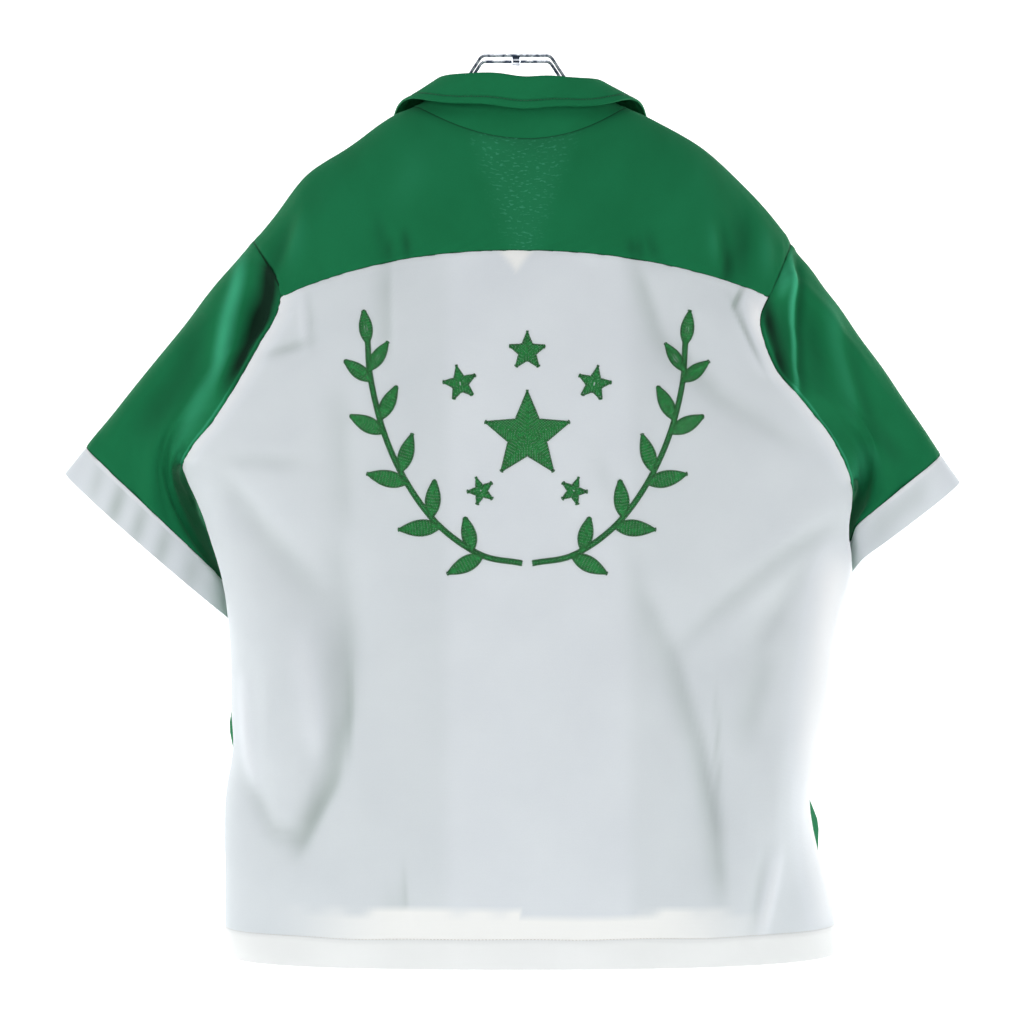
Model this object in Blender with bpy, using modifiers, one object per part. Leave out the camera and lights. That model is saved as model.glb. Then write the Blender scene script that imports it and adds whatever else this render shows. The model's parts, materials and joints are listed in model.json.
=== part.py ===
"""A short-sleeved bowling shirt, filled out and hollow, on a twin-wire hanger.

Metres, +Z up, +Y towards the shirt's front, +X towards the wearer's right.
The origin is on top of the hanger's neck, midway between its two wires.
"""
import math
from collections import namedtuple

import bmesh
import bpy
from mathutils import Vector
from mathutils.bvhtree import BVHTree

# ---------------------------------------------------------------- sizes (metres)
CLOTH = 0.0015              # thickness of the knit
CUFF_CLOTH = 0.0022         # a cuff band is the knit folded double
COLLAR_CLOTH = 0.0018       # collar, two layers pressed flat
SEAM_GAP = 0.00034          # between the pieces at a seam

PIT_HEIGHT = -0.389         # armpits, mean of the two sides
PIT_TILT = 0.011            # the left armpit is this much higher, the right this much lower
HEM_HEIGHT = -0.813         # bottom edge at the middle
HEM_SIDE_DROP = 0.007       # the hem is lower at the side seams
HEM_TURN = 0.026            # turned-up hem, where the wall is double inside
HEM_EXTRA = 0.0009          # what the turned hem adds on the inside
CORE_HALF = 0.272           # half width that the middle of the sheets keeps
FLARE_POWER = 6             # how close to the side seams the outline's changes stay
SHEET_POWER = 0.88          # below 1 the sheets are flatter in the middle than an ellipse
HALF_DEPTH = 0.105          # from the side seams to the back or front sheet

NECK_HALF = 0.097           # neck hole: half width on the shoulders
NECK_SHIFT = 0.004          # its middle is a little to the right
NECK_BACK = 0.057           # how far it goes back
YOKE_HEIGHT = -0.190        # yoke seam at centre back
YOKE_SPAN = 0.217           # where the yoke seam's drop is given
YOKE_DROP_LEFT = 0.040
YOKE_DROP_RIGHT = 0.033
YOKE_POWER = 2.2
FRONT_SEAM = 0.034          # the yoke's front edge lies this far in front of the ridge
V_HEIGHT = -0.195           # bottom of the V neck
OVERLAP = 0.014             # each front passes the middle by this much
OVERLAP_STEP = 0.0015       # left front lies this much out, right front this much in
OVERLAP_BLEND = 0.070       # the step fades out over this width
OVERLAP_TOP = 0.05          # and over this height above the V's bottom
V_BEND = 0.93               # below 1 the V's edges bulge outwards a little
V_INSET = 0.015             # share by which the neck hole narrows in front of the ridge
NECK_ARC = 0.75             # share of a neck edge's half that lies behind the ridge
CREASE_SIDE = 0.35          # creases fade out towards the side seams from this sine of the angle
CREASE_TOP = 0.30           # and towards the shoulders from this rise
ROW_HEIGHT = 0.036          # about one row of a sheet's points, below the armpits

COLLAR_END = 0.46           # how far down the V the collar reaches
COLLAR_ROLL = 0.0035        # radius of the collar's roll
COLLAR_SET = 0.0007         # the leaning collar stands off the neck edge by this much
LAPEL_START = 0.53          # top of the lapel on the V
LAPEL_END = 0.84            # its lower end
LAPEL_WIDTH = 0.052
LAPEL_LIFT = 0.0021         # from the front's middle to the lapel's middle
LAPEL_TIP = 0.003           # its width at the lower end
LAPEL_INSET = 0.0015        # from the V's edge
LAPEL_ACROSS = 0.86         # how far its width goes sideways
LAPEL_DOWN = 0.50           # and how far it goes down

BUTTON_COUNT = 5
BUTTON_TOP = -0.212
BUTTON_SPACING = 0.106
BUTTON_DROP = 0.010         # from here a button is lowered onto the cloth
BUTTON_SEAT = 0.0007        # from the cloth to the button's own middle below

WIRE = 0.0014               # radius of the hanger's wire
WIRE_APART = 0.0115         # each run's distance from the middle plane
WIRE_CLEAR = 0.0013         # from the wire to the cloth's curve above it
HANGER_TIP = 0.190          # half length of the hanger
SHOULDER_START = 0.088      # where the wire starts to follow the shoulders
NECK_TOP = 0.0312           # half width of the hanger's flat top
ELBOW = (0.0545, -0.0370)   # where a neck leg meets the shoulder run
NECK_BEND = 0.006           # radius of the bend at an end of the flat top
ELBOW_BEND = 0.012          # and at an elbow
SADDLE = (0.0070, 0.0016)   # width and thickness of the saddle's strip
BOSS = (0.0040, 0.0052)     # radius and height of its round boss
BOSS_HEIGHT = -0.0030       # the boss's middle

BACK_COLUMNS = 32
FRONT_COLUMNS = 10
SIDE_ROWS = 12
ARM_ROWS = 9
YOKE_ARM_ROWS = 7
V_ROWS = 6
SLEEVE_ROWS = 9
CUFF_ROWS = 2
LEFT, RIGHT, BACK, FRONT = -1, 1, -1, 1

# ---------------------------------------------------------------- short tables
Outline = namedtuple("Outline", "height left right")
OUTLINE = (                 # half widths of the body at the side seams
    Outline(-0.830, 0.264, 0.293),
    Outline(-0.790, 0.264, 0.292),
    Outline(-0.725, 0.265, 0.276),
    Outline(-0.683, 0.266, 0.269),
    Outline(-0.640, 0.259, 0.276),
    Outline(-0.591, 0.261, 0.285),
    Outline(-0.536, 0.262, 0.292),
    Outline(-0.490, 0.267, 0.304),
    Outline(-0.466, 0.272, 0.309),
    Outline(-0.430, 0.286, 0.305),
    Outline(-0.409, 0.292, 0.308),
    Outline(-0.378, 0.306, 0.310),
)

Ridge = namedtuple("Ridge", "across height")
RIDGE = (                   # the line along the top of the shoulders
    Ridge(-0.310, -0.250),
    Ridge(-0.241, -0.169),
    Ridge(-0.212, -0.136),
    Ridge(-0.189, -0.109),
    Ridge(-0.157, -0.085),
    Ridge(-0.094, -0.047),
    Ridge(0.000, -0.028),
    Ridge(0.102, -0.048),
    Ridge(0.151, -0.074),
    Ridge(0.189, -0.099),
    Ridge(0.220, -0.129),
    Ridge(0.252, -0.171),
    Ridge(0.310, -0.250),
)

Armhole = namedtuple("Armhole", "part left right")
ARMHOLE = (                 # half widths at the armhole seam, from the pit (0) to the shoulder (1)
    Armhole(0.00, 0.3060, 0.3100),
    Armhole(0.08, 0.2950, 0.3010),
    Armhole(0.20, 0.2710, 0.2860),
    Armhole(0.30, 0.2565, 0.2665),
    Armhole(0.39, 0.2440, 0.2480),
    Armhole(0.475, 0.2335, 0.2300),
    Armhole(0.58, 0.2210, 0.2200),
    Armhole(0.65, 0.2115, 0.2160),
    Armhole(0.732, 0.2085, 0.2200),
    Armhole(0.775, 0.2100, 0.2275),
    Armhole(1.00, 0.2410, 0.2520),
)

Crease = namedtuple("Crease", "sheet x0 z0 x1 z1 width depth")
CREASES = (                 # soft troughs (-) and ridges (+), on the back, then similar ones in front
    Crease(BACK, -0.150, -0.440, -0.158, -0.610, 0.026, -0.012),
    Crease(BACK, -0.158, -0.580, -0.188, -0.735, 0.028, -0.012),
    Crease(BACK, -0.200, -0.520, -0.215, -0.700, 0.026, 0.009),
    Crease(BACK, 0.095, -0.455, 0.158, -0.610, 0.026, -0.011),
    Crease(BACK, 0.150, -0.575, 0.183, -0.765, 0.028, -0.012),
    Crease(BACK, 0.215, -0.600, 0.228, -0.770, 0.026, 0.008),
    Crease(BACK, 0.095, -0.205, 0.205, -0.345, 0.024, -0.007),
    Crease(BACK, -0.262, -0.390, -0.175, -0.500, 0.022, -0.009),
    Crease(BACK, 0.285, -0.450, 0.175, -0.570, 0.024, -0.009),
    Crease(BACK, -0.108, -0.200, -0.112, -0.290, 0.014, 0.003),
    Crease(BACK, -0.250, -0.670, -0.180, -0.706, 0.022, -0.006),
    Crease(FRONT, -0.165, -0.430, -0.180, -0.700, 0.030, -0.011),
    Crease(FRONT, 0.150, -0.460, 0.190, -0.740, 0.030, -0.011),
    Crease(FRONT, -0.255, -0.400, -0.130, -0.520, 0.024, -0.008),
    Crease(FRONT, 0.270, -0.430, 0.140, -0.540, 0.024, -0.008),
    Crease(FRONT, -0.170, -0.180, -0.110, -0.330, 0.024, -0.005),
    Crease(FRONT, 0.175, -0.190, 0.110, -0.340, 0.024, -0.005),
)

Sleeve = namedtuple("Sleeve", "side outer inner half_open bow")
SLEEVES = (                 # outer and inner corners of each cuff's edge
    Sleeve(LEFT, Vector((-0.4135, 0.000, -0.383)), Vector((-0.258, 0.046, -0.526)), 0.034,
           Vector((-0.002, 0.006, 0.000))),
    Sleeve(RIGHT, Vector((0.4080, 0.004, -0.391)), Vector((0.270, 0.062, -0.500)), 0.037,
           Vector((0.004, 0.020, 0.000))),
)
CUFF_DEPTH = 0.031          # width of a cuff band
SLEEVE_START = 0.085        # how strongly a sleeve keeps the armhole's own direction
PIT_REACH = 0.11            # the underarm's soft bend fades out over this distance
SLEEVE_CLEAR = 0.0045       # a hanging sleeve stays this far from the body's cloth
SLEEVE_SPREAD = 0.17        # and this much more for each turn away from the underarm
SPREAD_TOP = -0.22          # the spread starts at this height
SPREAD_FALL = 0.12          # and is whole this much lower
SLEEVE_EASE = 0.35          # share of its length over which a sleeve moves clear
CUFF_EASE = 0.4             # share of its length over which the spread ends above the cuff
SLEEVE_TWIST = 0.03         # turns by which a cuff hangs forward of its armhole
RELAX_TIMES = 8             # how often a sleeve is evened out
RELAX_UNDER = 0.50          # by how much each time, at the underarm
RELAX_OVER = 0.06           # and at the outer edge, which is drawn tight already
FOLD_START = 0.22           # a sleeve's folds fade in over this share of its length
FOLD_END = 0.15             # and out over this share above the cuff
CUFF_GAP = 0.0007           # the cuff is thicker than the sleeve, so this seam is a little wider

SleeveFold = namedtuple("SleeveFold", "round_at along_at round_width along_width depth")
SLEEVE_FOLDS = (            # round: 0 underarm, 0.5 outer edge, by way of the back; along: 0 armhole
    SleeveFold(0.33, 0.14, 0.075, 0.16, -0.011),
    SleeveFold(0.42, 0.30, 0.05, 0.40, 0.005),
    SleeveFold(0.20, 0.55, 0.08, 0.30, -0.003),
    SleeveFold(0.67, 0.16, 0.075, 0.16, -0.009),
    SleeveFold(0.78, 0.60, 0.08, 0.25, -0.003),
)

CollarStation = namedtuple("CollarStation", "turn lean rise fall fall_lean")
COLLAR = (                  # turn: degrees round from centre back, lean angles in degrees
    CollarStation(0, 19, 0.0490, 0.0255, 18),
    CollarStation(28, 19, 0.0500, 0.0260, 18),
    CollarStation(55, 21, 0.0390, 0.0300, 17),
    CollarStation(78, 25, 0.0290, 0.0290, 11),
    CollarStation(95, 28, 0.0230, 0.0320, 8),
    CollarStation(120, 32, 0.0160, 0.0460, 6),
    CollarStation(150, 34, 0.0120, 0.0600, 5),
    CollarStation(180, 34, 0.0100, 0.0700, 4),
)

ButtonStep = namedtuple("ButtonStep", "radius height")
BUTTON = (                  # a button's outline, from its middle on top, round to its middle below
    ButtonStep(0.0000, 0.0010),
    ButtonStep(0.0036, 0.0010),
    ButtonStep(0.0044, 0.0019),
    ButtonStep(0.0052, 0.0019),
    ButtonStep(0.0057, 0.0012),
    ButtonStep(0.0052, 0.0000),
    ButtonStep(0.0000, -0.0003),
)


# ---------------------------------------------------------------- reading the tables
def table_value(table, key, column, at):
    """A smooth value between a table's rows, by cubic Hermite."""
    rows = sorted(table, key=lambda row: getattr(row, key))
    xs = [getattr(row, key) for row in rows]
    ys = [getattr(row, column) for row in rows]
    at = min(max(at, xs[0]), xs[-1])
    i = max(k for k in range(len(xs) - 1) if xs[k] <= at or k == 0)

    def slope(k):
        low, high = max(k - 1, 0), min(k + 1, len(xs) - 1)
        return (ys[high] - ys[low]) / (xs[high] - xs[low])

    span = xs[i + 1] - xs[i]
    t = (at - xs[i]) / span
    return ((1 + 2 * t) * (1 - t) ** 2 * ys[i] + t * (1 - t) ** 2 * span * slope(i)
            + t * t * (3 - 2 * t) * ys[i + 1] + t * t * (t - 1) * span * slope(i + 1))


def smooth_step(value):
    value = min(max(value, 0.0), 1.0)
    return value * value * (3 - 2 * value)


# ---------------------------------------------------------------- the torso's cloth
def pit_height(c):
    return PIT_HEIGHT - PIT_TILT * c


def ridge_height(x):
    return table_value(RIDGE, "across", "height", x)


def reach(c, height):
    """Half width that a point's cosine is multiplied by."""
    column = "left" if c < 0 else "right"
    flare = table_value(OUTLINE, "height", column, height) - CORE_HALF
    return CORE_HALF + flare * abs(c) ** FLARE_POWER


def smooth_torso(angle, rise):
    """The cloth without creases. angle: 0 right side, 90 front, 180 left, 270 back.

    rise: -1 hem, 0 armpits, 1 along the top of the shoulders, and past 1 down the other side.
    """
    if rise > 1:
        angle, rise = -angle, 2 - rise
    c, s = math.cos(angle), math.sin(angle)
    depth = math.copysign(HALF_DEPTH * abs(s) ** SHEET_POWER, s)
    pit = pit_height(c)
    if rise <= 0:
        hem = HEM_HEIGHT - HEM_SIDE_DROP * c * c
        z = pit + rise * (pit - hem)
        return Vector((c * reach(c, z), depth, z))
    x = c * reach(c, pit)
    arch = rise * math.pi / 2
    return Vector((x, depth * math.cos(arch), pit + (ridge_height(x) - pit) * math.sin(arch)))


def surface_normal(surface, angle, rise):
    """Unit normal, pointing out of the shirt."""
    step = 0.004
    across = surface(angle + step, rise) - surface(angle - step, rise)
    up = surface(angle, rise + step) - surface(angle, rise - step)
    return across.cross(up).normalized()


def crease_depth(point, sheet):
    """How far the creases push the cloth out at a point."""
    total = 0.0
    for crease in CREASES:
        if crease.sheet != sheet:
            continue
        run = Vector((crease.x1 - crease.x0, crease.z1 - crease.z0))
        offset = Vector((point.x - crease.x0, point.z - crease.z0))
        along = offset.dot(run) / run.length_squared
        aside = abs(offset.x * run.y - offset.y * run.x) / run.length
        fade = math.sin(math.pi * min(max(along * 0.8 + 0.1, 0.0), 1.0)) ** 2
        total += crease.depth * fade * math.exp(-(aside / crease.width) ** 2)
    return total


def torso(angle, rise):
    """The cloth with its creases, which fade out at the side seams and the shoulders."""
    point = smooth_torso(angle, rise)
    sine = math.sin(-angle if rise > 1 else angle)
    fade = smooth_step(abs(sine) / CREASE_SIDE) * smooth_step(abs(1 - rise) / CREASE_TOP)
    push = fade * crease_depth(point, BACK if sine < 0 else FRONT)
    if abs(push) < 1e-5:
        return point
    return point + surface_normal(smooth_torso, angle, rise) * push


def torso_normal(angle, rise):
    return surface_normal(torso, angle, rise)


# ---------------------------------------------------------------- lines on the torso
def angle_at(x, sheet):
    """The angle at which a sheet of the torso is at x, from the armpits upwards."""
    c = 0.0
    for _ in range(30):
        c = min(max(x / reach(math.copysign(abs(c), x), pit_height(c)), -1.0), 1.0)
    return sheet * math.acos(c)


def spot_by_height(x, z, sheet):
    """Angle and rise of the point above the armpits at x and z."""
    angle = angle_at(x, sheet)
    pit = pit_height(math.cos(angle))
    share = (z - pit) / (ridge_height(x) - pit)
    return angle, math.asin(min(max(share, 0.0), 1.0)) * 2 / math.pi


def spot_by_depth(x, y):
    """Angle and rise at x and y near the shoulders. Its angle is the back sheet's."""
    angle = angle_at(x, BACK)
    depth = HALF_DEPTH * abs(math.sin(angle)) ** SHEET_POWER
    rise = math.acos(min(max(abs(y) / depth, 0.0), 1.0)) * 2 / math.pi
    return angle, rise if y < 0 else 2 - rise


def over(spot):
    """The same place, named from the other sheet."""
    return -spot[0], 2 - spot[1]


def evenly(line, count):
    """count + 1 spots along a line (0 to 1), the same distance apart in space."""
    fine = 120
    spots = [line(k / fine) for k in range(fine + 1)]
    places = [smooth_torso(*spot) for spot in spots]
    lengths = [0.0]
    for before, after in zip(places, places[1:]):
        lengths.append(lengths[-1] + (after - before).length)
    result, k = [], 0
    for n in range(count + 1):
        target = lengths[-1] * n / count
        while k < fine - 1 and lengths[k + 1] < target:
            k += 1
        part = (target - lengths[k]) / (lengths[k + 1] - lengths[k])
        result.append(line((k + part) / fine))
    return result


def armhole_spot(side, part, sheet):
    """A spot on an armhole seam, part 0 at the pit and 1 on top of the shoulder."""
    column = "left" if side == LEFT else "right"
    x = side * table_value(ARMHOLE, "part", column, part)
    shoulder = ridge_height(side * table_value(ARMHOLE, "part", column, 1.0))
    pit = pit_height(side)
    return spot_by_height(x, pit + part * (shoulder - pit), sheet)


def yoke_seam_height(x):
    drop = YOKE_DROP_LEFT if x < 0 else YOKE_DROP_RIGHT
    return YOKE_HEIGHT - drop * (abs(x) / YOKE_SPAN) ** YOKE_POWER


def meeting(test, low, high):
    """Where test changes sign between low and high."""
    start = test(low) > 0
    for _ in range(40):
        middle = (low + high) / 2
        if (test(middle) > 0) == start:
            low = middle
        else:
            high = middle
    return low


def yoke_corner_part(side):
    """Where the yoke seam meets an armhole."""
    def above(part):
        point = smooth_torso(*armhole_spot(side, part, BACK))
        return point.z - yoke_seam_height(point.x)
    return meeting(above, 0.55, 0.95)


def front_corner_part(side):
    """Where the yoke's front edge meets an armhole."""
    def ahead(part):
        return smooth_torso(*armhole_spot(side, part, FRONT)).y - FRONT_SEAM
    return meeting(ahead, 0.55, 0.999)


def neck_x(side):
    return NECK_SHIFT + side * NECK_HALF


def v_spot(side, part):
    """A spot on a front's neck edge, part 0 at the yoke and 1 at the bottom of the V."""
    top = smooth_torso(*spot_by_depth(neck_x(side) * (1 - V_INSET), FRONT_SEAM))
    foot_x = -side * OVERLAP
    x = top.x + (foot_x - top.x) * part ** V_BEND
    return spot_by_height(x, top.z + (V_HEIGHT - 0.004 - top.z) * part, FRONT)


def neck_spot(turn):
    """A spot on the yoke's neck edge, turn -1 at its left front, 0 centre back, 1 right front."""
    side = LEFT if turn < 0 else RIGHT
    share = abs(turn)
    if share < NECK_ARC:
        round_by = share / NECK_ARC * math.pi / 2
        x = NECK_SHIFT + side * NECK_HALF * math.sin(round_by)
        return spot_by_depth(x, -max(NECK_BACK * math.cos(round_by), 1e-6))
    forward = (share - NECK_ARC) / (1 - NECK_ARC)
    x = neck_x(side) * (1 - V_INSET * forward ** 2)
    return spot_by_depth(x, max(FRONT_SEAM * forward, 1e-6))


def centre_spot(side, part):
    """A front's edge, from the hem (0) to the bottom of the V (1)."""
    x = -side * OVERLAP
    top = v_spot(side, 1.0)
    return math.acos(x / CORE_HALF), -1 + part * (top[1] + 1)


# ---------------------------------------------------------------- shared seam lines
SEAMS = {}


def lay_out_seams():
    """Every line that two pieces share, as one list of spots."""
    corner = {side: yoke_corner_part(side) for side in (LEFT, RIGHT)}
    front = {side: front_corner_part(side) for side in (LEFT, RIGHT)}
    for side in (LEFT, RIGHT):
        turn = math.pi if side == LEFT else 2 * math.pi
        SEAMS["side", side] = evenly(lambda t: (turn, t - 1), SIDE_ROWS)
        SEAMS["arm back", side] = evenly(
            lambda t: armhole_spot(side, t * corner[side], BACK), ARM_ROWS)
        SEAMS["arm front", side] = evenly(
            lambda t: armhole_spot(side, t * front[side], FRONT), ARM_ROWS)

        def over_shoulder(t):
            reach_back, reach_front = 1 - corner[side], 1 - front[side]
            along = t * (reach_back + reach_front)
            if along < reach_back:
                return armhole_spot(side, corner[side] + along, BACK)
            return over(armhole_spot(side, 1 - (along - reach_back), FRONT))

        SEAMS["arm yoke", side] = evenly(over_shoulder, YOKE_ARM_ROWS)

        def front_seam(t):
            start = smooth_torso(*armhole_spot(side, front[side], FRONT)).x
            end = smooth_torso(*neck_spot(side)).x
            return spot_by_depth(start + (end - start) * t, FRONT_SEAM)

        SEAMS["front", side] = evenly(front_seam, FRONT_COLUMNS)
        SEAMS["v", side] = evenly(lambda t: v_spot(side, t), V_ROWS)
    left_x = smooth_torso(*armhole_spot(LEFT, corner[LEFT], BACK)).x
    right_x = smooth_torso(*armhole_spot(RIGHT, corner[RIGHT], BACK)).x

    def yoke_seam(t):
        x = left_x + (right_x - left_x) * t
        return spot_by_height(x, yoke_seam_height(x), BACK)

    SEAMS["yoke"] = evenly(yoke_seam, BACK_COLUMNS)
    SEAMS["hem back"] = evenly(lambda t: (math.pi + math.pi * t, -1), BACK_COLUMNS)
    count = BACK_COLUMNS + 2 * YOKE_ARM_ROWS
    SEAMS["neck"] = evenly(lambda t: neck_spot(2 * t - 1), count)


def positive(spots):
    """The same spots with the back sheet's angles between 180 and 360 degrees."""
    return [(angle % (2 * math.pi) if angle < -1e-9 else angle, rise) for angle, rise in spots]


def patch(bottom, top, left, right):
    """Rows of spots that fill four edges. bottom and top run left to right, the sides run up."""
    rows = []
    width, height = len(bottom) - 1, len(left) - 1
    for j in range(height + 1):
        v = j / height
        row = []
        for i in range(width + 1):
            u = i / width
            row.append(tuple(
                (1 - v) * bottom[i][k] + v * top[i][k] + (1 - u) * left[j][k] + u * right[j][k]
                - (1 - u) * (1 - v) * bottom[0][k] - u * (1 - v) * bottom[-1][k]
                - (1 - u) * v * top[0][k] - u * v * top[-1][k]
                for k in (0, 1)))
        rows.append(row)
    return rows


# ---------------------------------------------------------------- walls
Cloth = namedtuple("Cloth", "points normals")


def on_torso(spots):
    points = [[torso(*spot) for spot in row] for row in spots]
    normals = [[torso_normal(*spot) for spot in row] for row in spots]
    return Cloth(points, normals)


def draw_in(cloth):
    """Moves the open edges inwards by half a seam gap."""
    points = [list(row) for row in cloth.points]
    last_row, last = len(points) - 1, len(points[0]) - 1
    moves = []
    for j, row in enumerate(cloth.points):
        for i, point in enumerate(row):
            inner = [(j + (j == 0) - (j == last_row), i), (j, i + (i == 0) - (i == last))]
            shift = Vector((0, 0, 0))
            for other_j, other_i in inner:
                if (other_j, other_i) != (j, i):
                    away = cloth.points[other_j][other_i] - point
                    shift += away.normalized() * SEAM_GAP / 2
            moves.append((j, i, shift))
    for j, i, shift in moves:
        points[j][i] = points[j][i] + shift
    return Cloth(points, cloth.normals)


def wall(name, cloth, material, thickness, tube=False, inner_extra=None):
    """A closed wall: an outer and an inner skin, half a thickness from the points, and its rims."""
    mesh = bmesh.new()
    outer, inner = [], []
    for j, (points, normals) in enumerate(zip(cloth.points, cloth.normals)):
        extra = inner_extra(j) if inner_extra else 0.0
        outer.append([mesh.verts.new(p + n * thickness / 2) for p, n in zip(points, normals)])
        inner.append([mesh.verts.new(p - n * (thickness / 2 + extra))
                      for p, n in zip(points, normals)])
    rows, columns = len(outer), len(outer[0])
    wrap = columns if tube else columns - 1
    for j in range(rows - 1):
        for i in range(wrap):
            k = (i + 1) % columns
            mesh.faces.new((outer[j][i], outer[j][k], outer[j + 1][k], outer[j + 1][i]))
            mesh.faces.new((inner[j][i], inner[j + 1][i], inner[j + 1][k], inner[j][k]))
    for i in range(wrap):
        k = (i + 1) % columns
        mesh.faces.new((outer[0][k], outer[0][i], inner[0][i], inner[0][k]))
        mesh.faces.new((outer[-1][i], outer[-1][k], inner[-1][k], inner[-1][i]))
    if not tube:
        for j in range(rows - 1):
            mesh.faces.new((outer[j][0], outer[j + 1][0], inner[j + 1][0], inner[j][0]))
            mesh.faces.new((outer[j + 1][-1], outer[j][-1], inner[j][-1], inner[j + 1][-1]))
    bmesh.ops.recalc_face_normals(mesh, faces=mesh.faces)
    finish_mesh(name, mesh, material)


def finish_mesh(name, mesh, material):
    data = bpy.data.meshes.new(name)
    mesh.to_mesh(data)
    mesh.free()
    data.shade_smooth()
    data.set_sharp_from_angle(angle=math.radians(50))
    dress(bpy.data.objects.new(name, data), material)


def dress(thing, material):
    """Puts an object in the shirt's collection, with its material."""
    for old in list(thing.users_collection):
        old.objects.unlink(thing)
    bpy.data.collections["bowling_shirt"].objects.link(thing)
    thing.data.materials.clear()
    thing.data.materials.append(MATERIALS[material])


def join_edges(first, second):
    """Normal and forward direction on a seam, where first's cloth ends and second's begins."""
    normal_1, into_1 = first
    normal_2, into_2 = second
    forward = (into_2 - into_1).normalized()
    normal = (normal_1 + normal_2).normalized()
    return (normal - forward * normal.dot(forward)).normalized(), forward


# ---------------------------------------------------------------- sleeves and cuffs
def armhole_loop(side):
    """The armhole seam's spots, from the pit up the back, over the shoulder and down the front."""
    back = SEAMS["arm back", side]
    yoke = SEAMS["arm yoke", side]
    front = [over(spot) for spot in reversed(SEAMS["arm front", side])]
    return back + yoke[1:] + front[1:-1]


def sleeve_axis(sleeve):
    shoulder = torso(*armhole_spot(sleeve.side, 1.0, BACK))
    return (sleeve.outer - shoulder).normalized()


def cuff_point(sleeve, angle):
    """A point on the cuff's oval edge, angle 0 at the underarm and pi at the outer edge."""
    middle = (sleeve.outer + sleeve.inner) / 2
    long_axis = (sleeve.outer - sleeve.inner) / 2
    deep = long_axis.cross(sleeve_axis(sleeve)).normalized()
    if deep.y > 0:
        deep = -deep
    return middle - long_axis * math.cos(angle) + deep * sleeve.half_open * math.sin(angle)


def ring_turns(points):
    """Each armhole point's share of a turn: 0 at the underarm, a half on top of the shoulder."""
    count = len(points)
    top = max(range(count), key=lambda i: points[i].z)
    lengths = [0.0]
    for i in range(count):
        lengths.append(lengths[-1] + (points[(i + 1) % count] - points[i]).length)
    turns = []
    for i in range(count):
        if i <= top:
            turns.append(0.5 * lengths[i] / lengths[top])
        else:
            turns.append(0.5 + 0.5 * (lengths[i] - lengths[top]) / (lengths[-1] - lengths[top]))
    return turns


def leaving(side, loop, points, i):
    """The direction in which the body's cloth would go on past the armhole's edge."""
    count = len(loop)
    spot = (loop[0][0], -0.02) if i == 0 else loop[i]
    normal = torso_normal(*spot)
    around = (points[(i + 1) % count] - points[i - 1]).normalized()
    onward = normal.cross(around).normalized() * -side
    near_pit = 1 - smooth_step((points[i] - points[0]).length / PIT_REACH)
    bent = onward.lerp(Vector((side, 0, 0)), near_pit).normalized()
    return normal, onward, bent


def body_edge(side, y, z):
    """How far from the middle the body's cloth reaches, at a depth and a height."""
    pit = pit_height(side)
    sine = min(abs(y) / HALF_DEPTH, 1.0) ** (1 / SHEET_POWER)
    cosine = math.sqrt(1 - sine * sine)
    section = cosine * reach(side * cosine, z)
    column = "left" if side == LEFT else "right"
    shoulder = ridge_height(side * table_value(ARMHOLE, "part", column, 1.0))
    armhole = table_value(ARMHOLE, "part", column, (z - pit) / (shoulder - pit))
    return section + (armhole - section) * smooth_step((z - pit + 0.03) / 0.03)


def keep_clear(point, side, spread, share):
    """Moves a sleeve's point sideways, softly, until it is clear of the body."""
    below = smooth_step((SPREAD_TOP - point.z) / SPREAD_FALL)
    limit = body_edge(side, point.y, point.z) + SLEEVE_CLEAR + spread * below
    away = side * point.x
    softness = 0.004
    pushed = (away + limit + math.sqrt((away - limit) ** 2 + softness ** 2)) / 2
    return Vector((side * (away + (pushed - away) * share), point.y, point.z))


def sleeve_rows(sleeve):
    """All rows of a sleeve and its cuff, from the armhole to the cuff's edge."""
    loop = armhole_loop(sleeve.side)
    start = [torso(*spot) for spot in loop]
    turns = ring_turns(start)
    steps = [(k / SLEEVE_ROWS) ** 1.2 for k in range(SLEEVE_ROWS + 1)]
    columns = []
    for i, (turn, point) in enumerate(zip(turns, start)):
        angle = (turn + SLEEVE_TWIST) * 2 * math.pi
        edge = keep_clear(cuff_point(sleeve, angle), sleeve.side, 0.0, 1.0)
        under = (1 + math.cos(angle)) / 2
        onward = sleeve_axis(sleeve).lerp(Vector((0, 0, -1)), under).normalized()
        seam = keep_clear(edge - onward * CUFF_DEPTH, sleeve.side, 0.0, 1.0)
        bent = leaving(sleeve.side, loop, start, i)[2]
        spread = SLEEVE_SPREAD * min(turn, 1 - turn)
        column = []
        for t in steps:
            place = ((1 + 2 * t) * (1 - t) ** 2 * point + t * (1 - t) ** 2 * SLEEVE_START * bent
                     + t * t * (3 - 2 * t) * seam
                     + t * t * (t - 1) * (seam - point).length * 0.8 * onward)
            place += sleeve.bow * (4 * t * (1 - t) * under * under)
            share = smooth_step(t / SLEEVE_EASE)
            apart = spread * smooth_step((1 - t) / CUFF_EASE)
            column.append(keep_clear(place, sleeve.side, apart, share))
        column += [seam.lerp(edge, k / CUFF_ROWS) for k in range(1, CUFF_ROWS + 1)]
        columns.append(column)
    rows = [[column[j] for column in columns] for j in range(SLEEVE_ROWS + CUFF_ROWS + 1)]
    return relax(rows, turns, sleeve.side), turns, steps + [1.0] * CUFF_ROWS


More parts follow.
